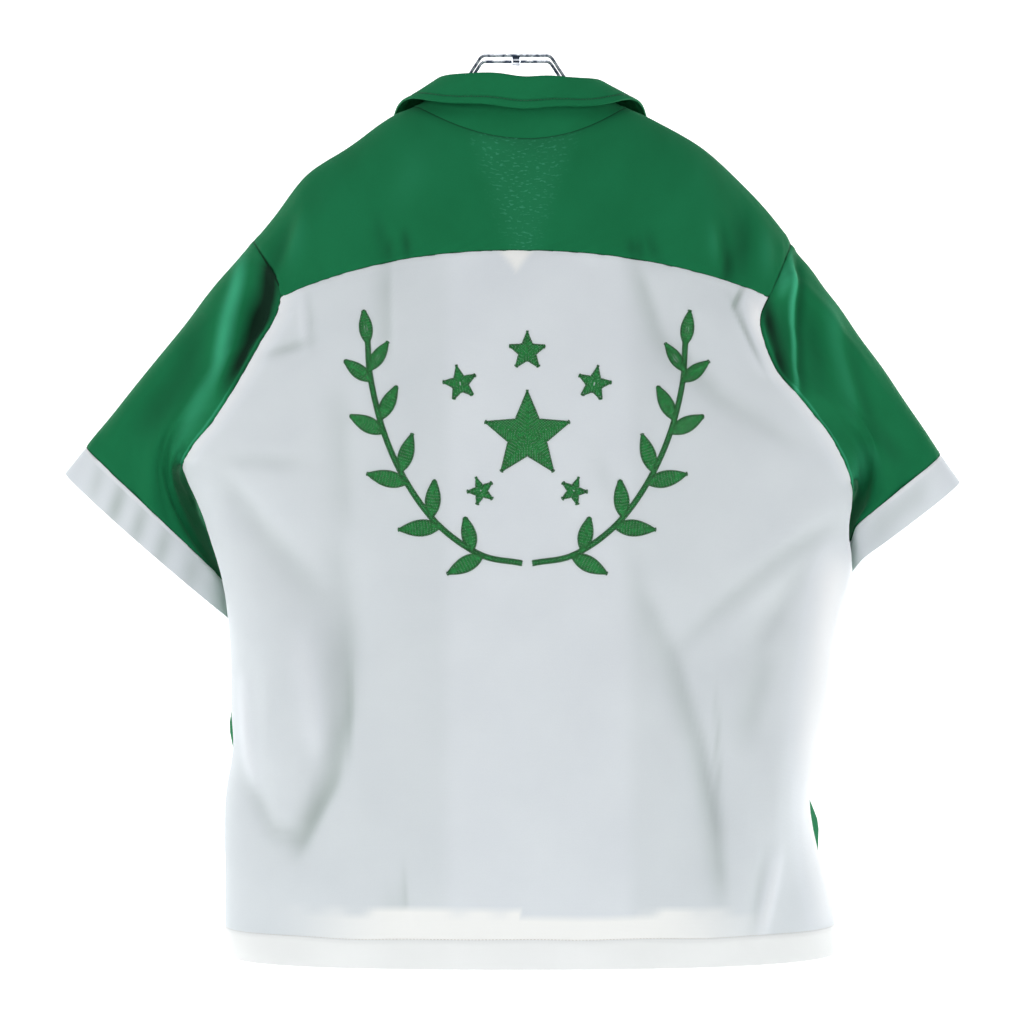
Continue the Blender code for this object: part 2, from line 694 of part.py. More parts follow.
def relax(rows, turns, side):
    """Evens out a sleeve between its two seams, the way cloth does, and keeps it off the body."""
    count = len(rows[0])
    for _ in range(RELAX_TIMES):
        new = [list(row) for row in rows]
        for j in range(1, SLEEVE_ROWS):
            for i in range(count):
                under = (1 + math.cos(turns[i] * 2 * math.pi)) / 2
                amount = RELAX_OVER + (RELAX_UNDER - RELAX_OVER) * math.sqrt(under)
                middle = (rows[j - 1][i] + rows[j + 1][i]
                          + rows[j][i - 1] + rows[j][(i + 1) % count]) / 4
                moved = rows[j][i].lerp(middle, amount)
                new[j][i] = keep_clear(moved, side, 0.0, smooth_step(j / 3))
        rows = new
    return rows


def row_normals(rows, side):
    """Normals of a tube given by its rows, pointing out of it."""
    result = []
    count = len(rows[0])
    for j, row in enumerate(rows):
        below, above = rows[max(j - 1, 0)], rows[min(j + 1, len(rows) - 1)]
        normals = []
        for i in range(count):
            around = row[(i + 1) % count] - row[i - 1]
            along = above[i] - below[i]
            normals.append(around.cross(along).normalized() * -side)
        result.append(normals)
    return result


def fold_sleeve(rows, normals, turns, steps):
    """Pushes a sleeve's folds in and out. They fade at both seams."""
    folded = []
    for step, row, row_of_normals in zip(steps, rows, normals):
        fade = smooth_step(step / FOLD_START) * smooth_step((1 - step) / FOLD_END)
        line = []
        for turn, point, normal in zip(turns, row, row_of_normals):
            push = sum(
                fold.depth * math.exp(-((turn - fold.round_at) / fold.round_width) ** 2
                                      - ((step - fold.along_at) / fold.along_width) ** 2)
                for fold in SLEEVE_FOLDS)
            line.append(point + normal * push * fade)
        folded.append(line)
    return folded


def make_sleeve(sleeve):
    """A sleeve and its cuff, and the joined normals that the body takes at the armhole."""
    name = "left" if sleeve.side == LEFT else "right"
    rows, turns, steps = sleeve_rows(sleeve)
    rows = fold_sleeve(rows, row_normals(rows, sleeve.side), turns, steps)
    normals = row_normals(rows, sleeve.side)
    loop = armhole_loop(sleeve.side)
    start = rows[0]
    seam = []
    for i in range(len(loop)):
        body_normal, onward, bent = leaving(sleeve.side, loop, start, i)
        around = (start[(i + 1) % len(loop)] - start[i - 1]).normalized()
        sleeve_normal = around.cross(bent).normalized() * -sleeve.side
        seam.append(join_edges((body_normal, -onward), (sleeve_normal, bent)))
    normals[0] = [normal for normal, _ in seam]
    rows[0] = [point + forward * SEAM_GAP / 2 for point, (_, forward) in zip(rows[0], seam)]
    last = SLEEVE_ROWS
    half_gaps = [(after - before).normalized() * CUFF_GAP / 2
                 for before, after in zip(rows[last - 1], rows[last + 1])]
    end = [point - half_gap for point, half_gap in zip(rows[last], half_gaps)]
    begin = [point + half_gap for point, half_gap in zip(rows[last], half_gaps)]
    wall("sleeve_" + name, Cloth(rows[:last] + [end], normals[:last + 1]), "green_knit",
         CLOTH, tube=True)
    wall("cuff_" + name, Cloth([begin] + rows[last + 1:], normals[last:]), "white_knit",
         CUFF_CLOTH, tube=True)
    return seam


# ---------------------------------------------------------------- body pieces
def make_back(seams):
    left = positive(SEAMS["side", LEFT] + SEAMS["arm back", LEFT][1:])
    right = positive(SEAMS["side", RIGHT] + SEAMS["arm back", RIGHT][1:])
    right = [(angle if angle > 0 else 2 * math.pi, rise) for angle, rise in right]
    spots = patch(SEAMS["hem back"], positive(SEAMS["yoke"]), left, right)
    cloth = draw_in(on_torso(spots))
    for side, column in ((LEFT, 0), (RIGHT, -1)):
        for k in range(ARM_ROWS + 1):
            j = SIDE_ROWS + k
            normal, _ = seams[side][k]
            cloth.normals[j][column] = normal
    hem_rows = math.ceil(HEM_TURN / ROW_HEIGHT)
    wall("back_panel", cloth, "white_knit", CLOTH,
         inner_extra=lambda j: HEM_EXTRA if j < hem_rows else 0.0)


def make_front(side, seams):
    """One front, from its side seam and armhole to the middle, with its V edge."""
    outer_edge = [(abs(angle), rise) for angle, rise in SEAMS["side", side]]
    if side == RIGHT:
        outer_edge = [(0.0, rise) for _, rise in outer_edge]
    outer_edge += SEAMS["arm front", side][1:]
    low_rows = SIDE_ROWS + ARM_ROWS - V_ROWS
    centre = [centre_spot(side, k / low_rows) for k in range(low_rows + 1)]
    centre += list(reversed(SEAMS["v", side]))[1:]
    seam_line = [over(spot) for spot in SEAMS["front", side]]
    hem = [(outer_edge[0][0] + (centre[0][0] - outer_edge[0][0]) * k / FRONT_COLUMNS, -1)
           for k in range(FRONT_COLUMNS + 1)]
    cloth = on_torso(patch(hem, seam_line, outer_edge, centre))
    for row, normals in zip(cloth.points, cloth.normals):
        for i, point in enumerate(row):
            share = smooth_step(1 - abs(point.x + side * OVERLAP) / OVERLAP_BLEND)
            height_share = smooth_step((V_HEIGHT + OVERLAP_TOP - point.z) / OVERLAP_TOP)
            row[i] = point - normals[i] * side * OVERLAP_STEP * share * height_share
    cloth = draw_in(cloth)
    count = len(armhole_loop(side))
    for k in range(ARM_ROWS + 1):
        normal, _ = seams[side][(count - k) % count]
        cloth.normals[SIDE_ROWS + k][0] = normal
    name = "front_left" if side == LEFT else "front_right"
    wall(name, cloth, "green_knit", CLOTH)


def yoke_cloth():
    """The yoke runs from the neck (first row) out to the armholes and the back seam."""
    outer = [spot for spot in reversed(SEAMS["arm yoke", LEFT])]
    outer += SEAMS["yoke"][1:]
    outer += SEAMS["arm yoke", RIGHT][1:]
    left_end = list(reversed(SEAMS["front", LEFT]))
    right_end = list(reversed(SEAMS["front", RIGHT]))
    return on_torso(patch(SEAMS["neck"], outer, left_end, right_end))


def make_yoke(seams):
    cloth = draw_in(yoke_cloth())
    last = len(cloth.points) - 1
    for k in range(YOKE_ARM_ROWS + 1):
        cloth.normals[last][YOKE_ARM_ROWS - k] = seams[LEFT][ARM_ROWS + k][0]
        cloth.normals[last][-1 - YOKE_ARM_ROWS + k] = seams[RIGHT][ARM_ROWS + k][0]
    wall("back_yoke", cloth, "green_knit", CLOTH)


# ---------------------------------------------------------------- collar and lapels
def collar_line():
    """Spots of the collar's seam, from its left end round the back to its right end."""
    turns = []
    arms = []
    for side in (LEFT, RIGHT):
        rows = round(COLLAR_END * V_ROWS)
        arms.append([over(spot) for spot in SEAMS["v", side][1:rows + 1]])
    neck = SEAMS["neck"]
    spots = list(reversed(arms[0])) + neck + arms[1]
    middle = len(spots) // 2
    lengths = [0.0]
    places = [torso(*spot) for spot in spots]
    for before, after in zip(places, places[1:]):
        lengths.append(lengths[-1] + (after - before).length)
    for length in lengths:
        turns.append((length - lengths[middle]) / (lengths[-1] - lengths[middle]) * 180)
    return spots, places, turns


def make_collar():
    """One piece that rises from the neck seam, rolls over and falls outside."""
    spots, places, turns = collar_line()
    points, normals = [], []
    last = len(spots) - 1
    for k, (spot, base, turn) in enumerate(zip(spots, places, turns)):
        out = torso_normal(*spot)
        around = (places[min(k + 1, last)] - places[max(k - 1, 0)]).normalized()
        inwards = out.cross(around).normalized()
        if inwards.z < 0:
            inwards = -inwards

        def size(column):
            return table_value(COLLAR, "turn", column, abs(turn))

        lean, fall_lean = math.radians(size("lean")), math.radians(size("fall_lean"))
        rise, fall = size("rise"), size("fall")
        line = [(COLLAR_SET, 0.0)]
        line += [(COLLAR_SET + rise * t * math.cos(lean * smooth_step(t * 3)),
                  rise * t * math.sin(lean * smooth_step(t * 3))) for t in (0.3, 0.65, 1.0)]
        end = line[-1]
        centre = (end[0] - COLLAR_ROLL * math.sin(lean), end[1] + COLLAR_ROLL * math.cos(lean))
        for quarter in (1, 2, 3, 4):
            angle = lean - math.pi / 2 + quarter * math.pi / 4
            line.append((centre[0] + COLLAR_ROLL * math.cos(angle),
                         centre[1] + COLLAR_ROLL * math.sin(angle)))
        start = line[-1]
        for t in (0.35, 0.7, 1.0):
            line.append((start[0] - fall * t * math.cos(fall_lean),
                         start[1] - fall * t * math.sin(fall_lean)))
        points.append([base + inwards * p + out * q for p, q in line])
    points = smooth_columns(points, 8)
    for k in range(len(points)):
        before, after = points[max(k - 1, 0)], points[min(k + 1, last)]
        row = points[k]
        line = []
        for i in range(len(row)):
            around = after[i] - before[i]
            along = row[min(i + 1, len(row) - 1)] - row[max(i - 1, 0)]
            line.append(along.cross(around).normalized())
        normals.append(line)
    cloth = draw_in(Cloth(points, normals))
    wall("collar", cloth, "green_knit", COLLAR_CLOTH)


def smooth_columns(rows, times):
    """Evens out each column of points except its first point, which stays on the seam."""
    for _ in range(times):
        new = [list(row) for row in rows]
        for k in range(1, len(rows) - 1):
            for i in range(1, len(rows[k])):
                new[k][i] = rows[k][i] * 0.5 + (rows[k - 1][i] + rows[k + 1][i]) * 0.25
        rows = new
    return rows


def make_lapel(side):
    """A front's turned-back corner, lying on the front."""
    columns, rows = 4, 6
    points, normals = [], []
    for j in range(rows + 1):
        part = LAPEL_START + (LAPEL_END - LAPEL_START) * j / rows
        edge = torso(*v_spot(side, part))
        width = LAPEL_WIDTH * (1 - j / rows) ** 0.8 + LAPEL_TIP
        line, line_normals = [], []
        for i in range(columns + 1):
            t = i / columns
            x = edge.x + side * (LAPEL_INSET + width * t * LAPEL_ACROSS)
            z = edge.z - width * t * LAPEL_DOWN
            spot = spot_by_height(x, z, FRONT)
            normal = torso_normal(*spot)
            share = smooth_step((V_HEIGHT + OVERLAP_TOP - z) / OVERLAP_TOP)
            near = smooth_step(1 - abs(x + side * OVERLAP) / OVERLAP_BLEND)
            lift = LAPEL_LIFT - side * OVERLAP_STEP * share * near
            line.append(torso(*spot) + normal * lift)
            line_normals.append(normal)
        points.append(line)
        normals.append(line_normals)
    name = "lapel_left" if side == LEFT else "lapel_right"
    wall(name, Cloth(points, normals), "green_knit", CLOTH)


# ---------------------------------------------------------------- buttons and hanger
def make_buttons():
    """Turned buttons down the middle of the left front, each set down on its cloth."""
    left_front = bpy.data.objects["front_left"]
    cloth = BVHTree.FromObject(left_front, bpy.context.evaluated_depsgraph_get())
    for number in range(BUTTON_COUNT):
        height = BUTTON_TOP - number * BUTTON_SPACING
        pit = pit_height(0.0)
        if height > pit:
            spot = spot_by_height(0.0, height, FRONT)
        else:
            spot = (math.pi / 2, (height - pit) / (pit - HEM_HEIGHT))
        normal = torso_normal(*spot)
        above = torso(*spot) + normal * BUTTON_DROP
        seat = cloth.ray_cast(above, -normal)[0] + normal * BUTTON_SEAT
        name = "button_%d" % (number + 1)
        data = bpy.data.meshes.new(name)
        places = [(step.radius, 0.0, step.height) for step in BUTTON]
        edges = [(k, k + 1) for k in range(len(BUTTON) - 1)]
        data.from_pydata(places, edges, [])
        button = bpy.data.objects.new(name, data)
        screw = button.modifiers.new("turn", "SCREW")
        screw.steps = screw.render_steps = 16
        screw.use_merge_vertices = True
        screw.merge_threshold = 0.00001
        screw.use_smooth_shade = True
        button.location = seat
        button.rotation_mode = "QUATERNION"
        button.rotation_quaternion = Vector((0, 0, 1)).rotation_difference(normal)
        dress(button, "button_green")


def wire_height(x):
    """Height of a wire's middle, so that it lies just under the lower shoulder."""
    lowest = 0.0
    for side in (LEFT, RIGHT):
        spot = spot_by_depth(side * x, -WIRE_APART)
        point, normal = smooth_torso(*spot), surface_normal(smooth_torso, *spot)
        slope_drop = (CLOTH / 2 + WIRE + WIRE_CLEAR) / max(normal.z, 0.3)
        lowest = min(lowest, point.z - slope_drop)
    return lowest


def rounded(corners, radii, step=0.004):
    """A closed line through corners, with each corner rounded by its radius."""
    points = []
    count = len(corners)
    for k, (corner, radius) in enumerate(zip(corners, radii)):
        before, after = corners[k - 1], corners[(k + 1) % count]
        to_before, to_after = (before - corner).normalized(), (after - corner).normalized()
        if radius == 0:
            points.append(corner)
            continue
        half = to_before.angle(to_after) / 2
        run = radius / math.tan(half)
        middle = corner + (to_before + to_after).normalized() * radius / math.sin(half)
        start, end = corner + to_before * run - middle, corner + to_after * run - middle
        turn = start.angle(end)
        pieces = max(2, math.ceil(radius * turn / step))
        for n in range(pieces + 1):
            share = n / pieces
            swing = (start * math.sin((1 - share) * turn) + end * math.sin(share * turn))
            points.append(middle + swing / math.sin(turn))
    return points


def make_hanger():
    """One long loop of wire: a near run, a far run, and a bend at each tip."""
    reach_out = [SHOULDER_START + (HANGER_TIP - SHOULDER_START) * k / 7 for k in range(8)]
    half = [(NECK_TOP, -WIRE, NECK_BEND), (ELBOW[0], ELBOW[1], ELBOW_BEND)]
    half += [(x, wire_height(x), 0.0) for x in reach_out[:-1]]
    half += [(HANGER_TIP, wire_height(HANGER_TIP), WIRE_APART * 0.98)]
    corners, radii = [], []
    for y, mirror in ((-WIRE_APART, 1), (WIRE_APART, -1)):
        for x, z, radius in list(reversed(half)):
            corners.append(Vector((-x * mirror, y, z)))
            radii.append(radius)
        for x, z, radius in half:
            corners.append(Vector((x * mirror, y, z)))
            radii.append(radius)
    points = rounded(corners, radii)
    curve = bpy.data.curves.new("hanger_wire", "CURVE")
    curve.dimensions = "3D"
    curve.bevel_depth = WIRE
    curve.bevel_resolution = 2
    spline = curve.splines.new("POLY")
    spline.points.add(len(points) - 1)
    for place, point in zip(spline.points, points):
        place.co = (*point, 1.0)
    spline.use_cyclic_u = True
    dress(bpy.data.objects.new("hanger_wire", curve), "chrome")


def make_saddle():
    """A small chrome bridge under the two top wires, with a raised boss for a hook."""
    bpy.ops.mesh.primitive_cylinder_add(vertices=20, radius=BOSS[0], depth=BOSS[1])
    boss = bpy.context.object
    boss.name = "hanger_boss_cutter"
    bpy.ops.mesh.primitive_cube_add(size=1)
    saddle = bpy.context.object
    saddle.name = "hanger_saddle"
    saddle.scale = (SADDLE[0], 2 * WIRE_APART + 2 * WIRE, SADDLE[1])
    saddle.location = (0, 0, -2 * WIRE - SEAM_GAP - SADDLE[1] / 2)
    bpy.ops.object.transform_apply(location=True, scale=True)
    boss.location = (0, 0, BOSS_HEIGHT)
    boss.hide_render = True
    boss.display_type = "WIRE"
    union = saddle.modifiers.new("boss", "BOOLEAN")
    union.operation = "UNION"
    union.object = boss
    edge = saddle.modifiers.new("edge", "BEVEL")
    edge.width = 0.0003
    edge.segments = 1
    dress(saddle, "chrome")
    for old in list(boss.users_collection):
        old.objects.unlink(boss)
    bpy.data.collections["cutters"].objects.link(boss)


# ---------------------------------------------------------------- the whole shirt
MATERIALS = {}
Finish = namedtuple("Finish", "name colour roughness metallic")
FINISHES = (
    Finish("green_knit", (0.010, 0.165, 0.062, 1), 0.75, 0.0),
    Finish("white_knit", (0.78, 0.80, 0.79, 1), 0.80, 0.0),
    Finish("button_green", (0.012, 0.120, 0.050, 1), 0.35, 0.0),
    Finish("chrome", (0.80, 0.81, 0.82, 1), 0.12, 1.0),
)


def start_scene():
    for thing in list(bpy.data.objects):
        bpy.data.objects.remove(thing)
    for name in ("bowling_shirt", "cutters"):
        bpy.context.scene.collection.children.link(bpy.data.collections.new(name))
    for finish in FINISHES:
        material = bpy.data.materials.new(finish.name)
        material.use_nodes = True
        shader = material.node_tree.nodes["Principled BSDF"]
        shader.inputs["Base Color"].default_value = finish.colour
        shader.inputs["Roughness"].default_value = finish.roughness
        shader.inputs["Metallic"].default_value = finish.metallic
        MATERIALS[finish.name] = material


def main():
    start_scene()
    lay_out_seams()
    seams = {sleeve.side: make_sleeve(sleeve) for sleeve in SLEEVES}
    make_back(seams)
    make_yoke(seams)
    for side in (LEFT, RIGHT):
        make_front(side, seams)
        make_lapel(side)
    make_collar()
    make_buttons()
    make_hanger()
    make_saddle()


main()
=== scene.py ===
# %% [markdown]
# # A bowling shirt on a wire hanger
#
# This notebook dresses a solid model of a short-sleeved bowling shirt, seen from behind. The white
# back and cuffs and the green yoke, sleeves, fronts and collar are separate pieces of knitted cloth,
# and each of them is a piece here too. The solid model gives every piece its place. What follows
# gives it fine folds, a knitted surface, real stitches and a chain-stitched spray on the back.

# %% Loading the solid parts
import json
import math
from collections import namedtuple

import bpy
import numpy as np
from mathutils import Matrix, Vector
from mathutils.bvhtree import BVHTree

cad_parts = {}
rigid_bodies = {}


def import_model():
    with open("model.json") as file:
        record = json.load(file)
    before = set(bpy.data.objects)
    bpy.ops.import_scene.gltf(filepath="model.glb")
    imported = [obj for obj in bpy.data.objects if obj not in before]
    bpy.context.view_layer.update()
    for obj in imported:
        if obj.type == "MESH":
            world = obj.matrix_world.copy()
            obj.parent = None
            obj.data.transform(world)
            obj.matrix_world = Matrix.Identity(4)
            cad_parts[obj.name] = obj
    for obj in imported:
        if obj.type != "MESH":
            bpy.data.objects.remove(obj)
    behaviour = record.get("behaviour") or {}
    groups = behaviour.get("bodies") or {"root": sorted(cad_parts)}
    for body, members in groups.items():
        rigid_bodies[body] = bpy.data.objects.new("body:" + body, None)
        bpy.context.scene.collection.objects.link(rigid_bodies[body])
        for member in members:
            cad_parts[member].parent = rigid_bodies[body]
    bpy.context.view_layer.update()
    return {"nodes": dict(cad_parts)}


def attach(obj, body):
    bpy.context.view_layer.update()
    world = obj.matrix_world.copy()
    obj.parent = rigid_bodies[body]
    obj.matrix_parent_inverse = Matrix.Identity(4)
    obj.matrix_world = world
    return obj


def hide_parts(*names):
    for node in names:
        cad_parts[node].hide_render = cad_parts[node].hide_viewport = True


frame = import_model()

# %% [markdown]
# ## Small helpers
#
# A few things come up again and again below. Sizes stand in tables of plain rows, most of them in
# millimetres. An object has to be put in the scene before it shows. Materials and Geometry Nodes are
# both trees of nodes, so one pair of functions can set up the nodes of either.

# %% Tables, objects, nodes and materials
def named_rows(fields, in_mm, *rows):
    """A table with a name for each number of a row. The first in_mm of them are millimetres."""
    row_type = namedtuple("Row", fields)
    return [row_type(*(number / 1000 for number in row[:in_mm]), *row[in_mm:]) for row in rows]


def show(name, data):
    """A new object, put in the scene."""
    thing = bpy.data.objects.new(name, data)
    bpy.context.scene.collection.objects.link(thing)
    return thing


def feed(tree, node, **inputs):
    """Sets some of a node's inputs, each to a number, a colour or another node's output."""
    for name, value in inputs.items():
        socket = node.inputs[int(name[1:])] if name[0] == "_" else node.inputs[name.replace("_", " ")]
        if isinstance(value, bpy.types.NodeSocket):
            tree.links.new(value, socket)
        else:
            socket.default_value = value
    return node


def add(tree, kind, **inputs):
    return feed(tree, tree.nodes.new(kind), **inputs)


def new_finish(name, **inputs):
    """A material, its node tree and its shader, with some of the shader's inputs set."""
    finish = bpy.data.materials.new(name)
    finish.use_nodes = True
    tree = finish.node_tree
    return finish, tree, feed(tree, tree.nodes["Principled BSDF"], **inputs)

# %% [markdown]
# ## Where the viewer stands
#
# The camera could be placed by eye, but a shirt's outline changes with distance: the nearer the
# lens, the more the back hides of the sides. So it stands level with the middle of the shirt, one
# and a half metres behind it, with a lens that takes in just the shirt and the hanger's neck.

# %% Camera
EYE = Vector((-0.0037, -1.71, -0.418))
LENS = 65.4

lens = bpy.data.cameras.new("camera")
lens.lens = LENS
camera = show("camera", lens)
camera.location = EYE
camera.rotation_euler = (math.radians(90), 0, 0)
bpy.context.scene.camera = camera
print("camera at", tuple(round(n, 3) for n in EYE), "lens", LENS, "mm")

# %% [markdown]
# ## The studio
#
# A shirt for a shop's page hangs in front of a white sweep: paper that runs from the floor up the
# wall in one soft bend, so that no edge shows. It is made as one curved sheet, by sweeping a short
# outline sideways. A plane for the floor and another for the wall would leave a line where they
# meet. The wall is far enough back to walk round the shirt. The lamps stand well to the sides, so
# that folds show, two of them light the shirt's edges from behind, and the paper itself is bright.

# %% The paper sweep
FLOOR_HEIGHT = -1.35
WALL_BEHIND = 4.8
SWEEP_RADIUS = 1.5
PAPER_HALF = 8.0


def paper_outline():
    """Points of the sweep from the front of the floor, round the bend, to the top of the wall."""
    line = [(-4.0, FLOOR_HEIGHT)]
    for step in range(17):
        turn = math.pi / 2 * step / 16
        line.append((WALL_BEHIND - SWEEP_RADIUS + SWEEP_RADIUS * math.sin(turn),
                     FLOOR_HEIGHT + SWEEP_RADIUS - SWEEP_RADIUS * math.cos(turn)))
    line.append((WALL_BEHIND, 4.0))
    return line


outline = paper_outline()
corners = [(x, y, z) for y, z in outline for x in (-PAPER_HALF, PAPER_HALF)]
strips = [(2 * k, 2 * k + 1, 2 * k + 3, 2 * k + 2) for k in range(len(outline) - 1)]
paper_mesh = bpy.data.meshes.new("paper_sweep")
paper_mesh.from_pydata(corners, [], strips)
paper_mesh.shade_smooth()
paper = show("paper_sweep", paper_mesh)
paper_finish, *_ = new_finish("pale_paper", Base_Color=(0.86, 0.86, 0.86, 1), Roughness=0.9,
                              Emission_Color=(1, 1, 1, 1), Emission_Strength=0.75)
paper_mesh.materials.append(paper_finish)
print("paper sweep:", len(strips), "strips")

# %% Lamps
LAMP_AIM = Vector((0, 0, -0.4))
LAMPS = named_rows(
    "name place size watts", 0,
    ("key_left", (-2.4, -1.0, 0.4), 0.9, 26), ("fill_right", (2.6, -1.4, 0.3), 1.4, 25),
    ("soft_top", (0.0, -1.0, 2.0), 1.2, 12), ("edge_left", (-1.6, 1.2, 0.1), 1.0, 20),
    ("edge_right", (1.6, 1.2, 0.1), 1.0, 28))

world = bpy.data.worlds.new("studio_air")
bpy.context.scene.world = world
world.use_nodes = True
feed(world.node_tree, world.node_tree.nodes["Background"], Color=(0.93, 0.96, 1.0, 1), Strength=0.37)
for lamp in LAMPS:
    light = bpy.data.lights.new(lamp.name, "AREA")
    light.size = lamp.size
    light.energy = lamp.watts
    stand = show(lamp.name, light)
    stand.location = lamp.place
    stand.rotation_euler = (LAMP_AIM - Vector(lamp.place)).to_track_quat("-Z", "Y").to_euler()
bpy.context.scene.view_settings.view_transform = "Standard"
print("lamps:", [lamp.name for lamp in LAMPS])

# %% [markdown]
# ## The knitted cloth
#
# Both cloths are a firm polyester double knit: close upright ribs, called wales, crossed by loops.
# The ribs could be modelled, but there are about eleven to a centimetre, so they are made in the
# material. It reads each piece's own map, called cloth, whose numbers are metres along and across
# the cut piece, so that the ribs follow the cloth round a sleeve. A little light also passes
# through a knit, which a Translucent shader gives.

# %% Helpers for the trees of materials
def maths(tree, operation, first, second=0.0, third=0.0):
    node = add(tree, "ShaderNodeMath", _0=first, _1=second, _2=third)
    node.operation = operation
    return node.outputs[0]


def blend_colours(tree, share, first, second):
    """A mix of two colours, each a colour or another node's output."""
    node = tree.nodes.new("ShaderNodeMix")
    node.data_type = "RGBA"
    return feed(tree, node, _0=share, _6=first, _7=second).outputs[2]


def noise(tree, place, scale, detail, distortion=0.0):
    return add(tree, "ShaderNodeTexNoise", Vector=place, Scale=scale, Detail=detail,
               Distortion=distortion).outputs[0]


def ranged(tree, value, low, high, to_low=0.0, to_high=1.0):
    """A value stretched so that low becomes to_low and high becomes to_high."""
    return add(tree, "ShaderNodeMapRange", Value=value, From_Min=low, From_Max=high, To_Min=to_low,
               To_Max=to_high).outputs[0]


def mark_of(tree, name):
    """Reads one of the marks that a mesh carries."""
    node = tree.nodes.new("ShaderNodeAttribute")
    node.attribute_name = name
    return node.outputs["Fac"]


# %% Knit finishes
WALE = 0.0009               # from one rib of the knit to the next
COURSE = 0.0011             # from one row of loops to the next


def ribs(tree, place, pitch):
    """A wave from 0 to 1 with one crest each pitch."""
    turn = maths(tree, "MULTIPLY", place, 2 * math.pi / pitch)
    return maths(tree, "MULTIPLY_ADD", maths(tree, "SINE", turn), 0.5, 0.5)


Knit = namedtuple("Knit", "colour drift dark pale thin sheen through specks")


def knit_finish(name, knit):
    """A knit whose colour drifts a little, with fine ribs and light passing through.

    It reads two marks of the mesh. One paints shade where it is below 0 and light where it is above 0.
    The other, from 0 to 1, paints the light that would come through the cloth, partly as specks.
    """
    finish, tree, shader = new_finish(name)
    cloth_map = tree.nodes.new("ShaderNodeUVMap")
    cloth_map.uv_map = "cloth"
    place = cloth_map.outputs[0]
    split = add(tree, "ShaderNodeSeparateXYZ", Vector=place)
    wales = ribs(tree, split.outputs[0], WALE)
    courses = ribs(tree, split.outputs[1], COURSE)
    loops = maths(tree, "MULTIPLY_ADD", courses, 0.45, wales)
    fluff = noise(tree, place, 900.0, 3.0)
    drift = noise(tree, place, 14.0, 4.0)
    fleck = maths(tree, "MULTIPLY_ADD", fluff, 0.8, maths(tree, "MULTIPLY", loops, 0.25))
    spread = maths(tree, "MULTIPLY_ADD", drift, 0.55, maths(tree, "MULTIPLY", fleck, 0.45))
    worn = blend_colours(tree, ranged(tree, spread, 0.35, 0.80), (*knit.colour, 1), (*knit.drift, 1))
    tone = mark_of(tree, "tone")
    for far, reached in ((-1.0, knit.dark), (1.0, knit.pale)):
        worn = blend_colours(tree, ranged(tree, tone, 0.0, far), worn, (*reached, 1))
    streaks = add(tree, "ShaderNodeMapping", Vector=place, Scale=(1.0, 2.4, 1.0)).outputs[0]
    dots = ranged(tree, noise(tree, streaks, 190.0, 3.0), 0.57, 0.66)
    strength = maths(tree, "MULTIPLY_ADD", dots, knit.specks, 1 - knit.specks)
    lit = maths(tree, "MULTIPLY", mark_of(tree, "thin"), strength)
    worn = blend_colours(tree, lit, worn, (*knit.thin, 1))
    height = maths(tree, "MULTIPLY_ADD", fluff, 0.6, loops)
    bump = add(tree, "ShaderNodeBump", Strength=0.35, Distance=0.0003, Height=height)
    rough = ranged(tree, fluff, 0.0, 1.0, 0.72, 0.92)
    feed(tree, shader, Base_Color=worn, Normal=bump.outputs[0], Roughness=rough,
         Sheen_Weight=knit.sheen, Sheen_Roughness=0.45, Sheen_Tint=(*knit.pale, 1),
         Specular_IOR_Level=0.12)
    glow = add(tree, "ShaderNodeBsdfTranslucent", Color=worn)
    join = add(tree, "ShaderNodeMixShader", _0=knit.through, _1=shader.outputs[0], _2=glow.outputs[0])
    tree.links.new(join.outputs[0], tree.nodes["Material Output"].inputs["Surface"])
    return finish


# dark and pale are the colours of painted shade and painted light; the next colour is that of painted
# light where the backdrop would come through the cloth.
FINISHES = {
    "green_knit": knit_finish("green_double_knit", Knit(
        colour=(0.0050, 0.140, 0.048), drift=(0.0090, 0.185, 0.070), dark=(0.0015, 0.018, 0.008),
        pale=(0.060, 0.460, 0.250), thin=(0.070, 0.380, 0.220), sheen=0.04, through=0.08,
        specks=0.82)),
    "white_knit": knit_finish("white_double_knit", Knit(
        colour=(0.735, 0.770, 0.800), drift=(0.800, 0.835, 0.855), dark=(0.330, 0.400, 0.365),
        pale=(0.960, 0.965, 0.965), thin=(0.950, 0.950, 0.925), sheen=0.04, through=0.22,
        specks=0.0)),
}
print("knits:", list(FINISHES))

# %% [markdown]
# ## Thread, buttons and chrome
#
# Sewing thread is two plies twisted together. A slanting wave along the stitch stands for the twist.
# The buttons are moulded polyester with a faint pearly drift, and the hanger's wire is chromed steel with
# painted reflections.

# %% Thread, button and chrome finishes
TWIST = 0.0009              # from one turn of a thread's plies to the next


def own_place(tree):
    return tree.nodes.new("ShaderNodeTexCoord").outputs["Object"]


def thread_finish(name, colour, shade):
    """Twisted thread: a slanting wave dents it and paints shade between its plies, and a noise varies its
    colour.
    """
    finish, tree, shader = new_finish(name, Base_Color=(*colour, 1), Roughness=0.55)
    place = own_place(tree)
    split = add(tree, "ShaderNodeSeparateXYZ", Vector=place)
    slant = maths(tree, "ADD", split.outputs[0], maths(tree, "MULTIPLY", split.outputs[2], 0.7))
    twist = ribs(tree, slant, TWIST)
    spots = ranged(tree, noise(tree, place, 420.0, 2.0), 0.38, 0.62)
    share = maths(tree, "MULTIPLY_ADD", twist, 0.35, maths(tree, "MULTIPLY", spots, 0.65))
    mixed = blend_colours(tree, share, (*shade, 1), (*colour, 1))
    bump = add(tree, "ShaderNodeBump", Strength=0.5, Distance=0.0002, Height=twist)
    feed(tree, shader, Base_Color=mixed, Normal=bump.outputs[0])
    return finish


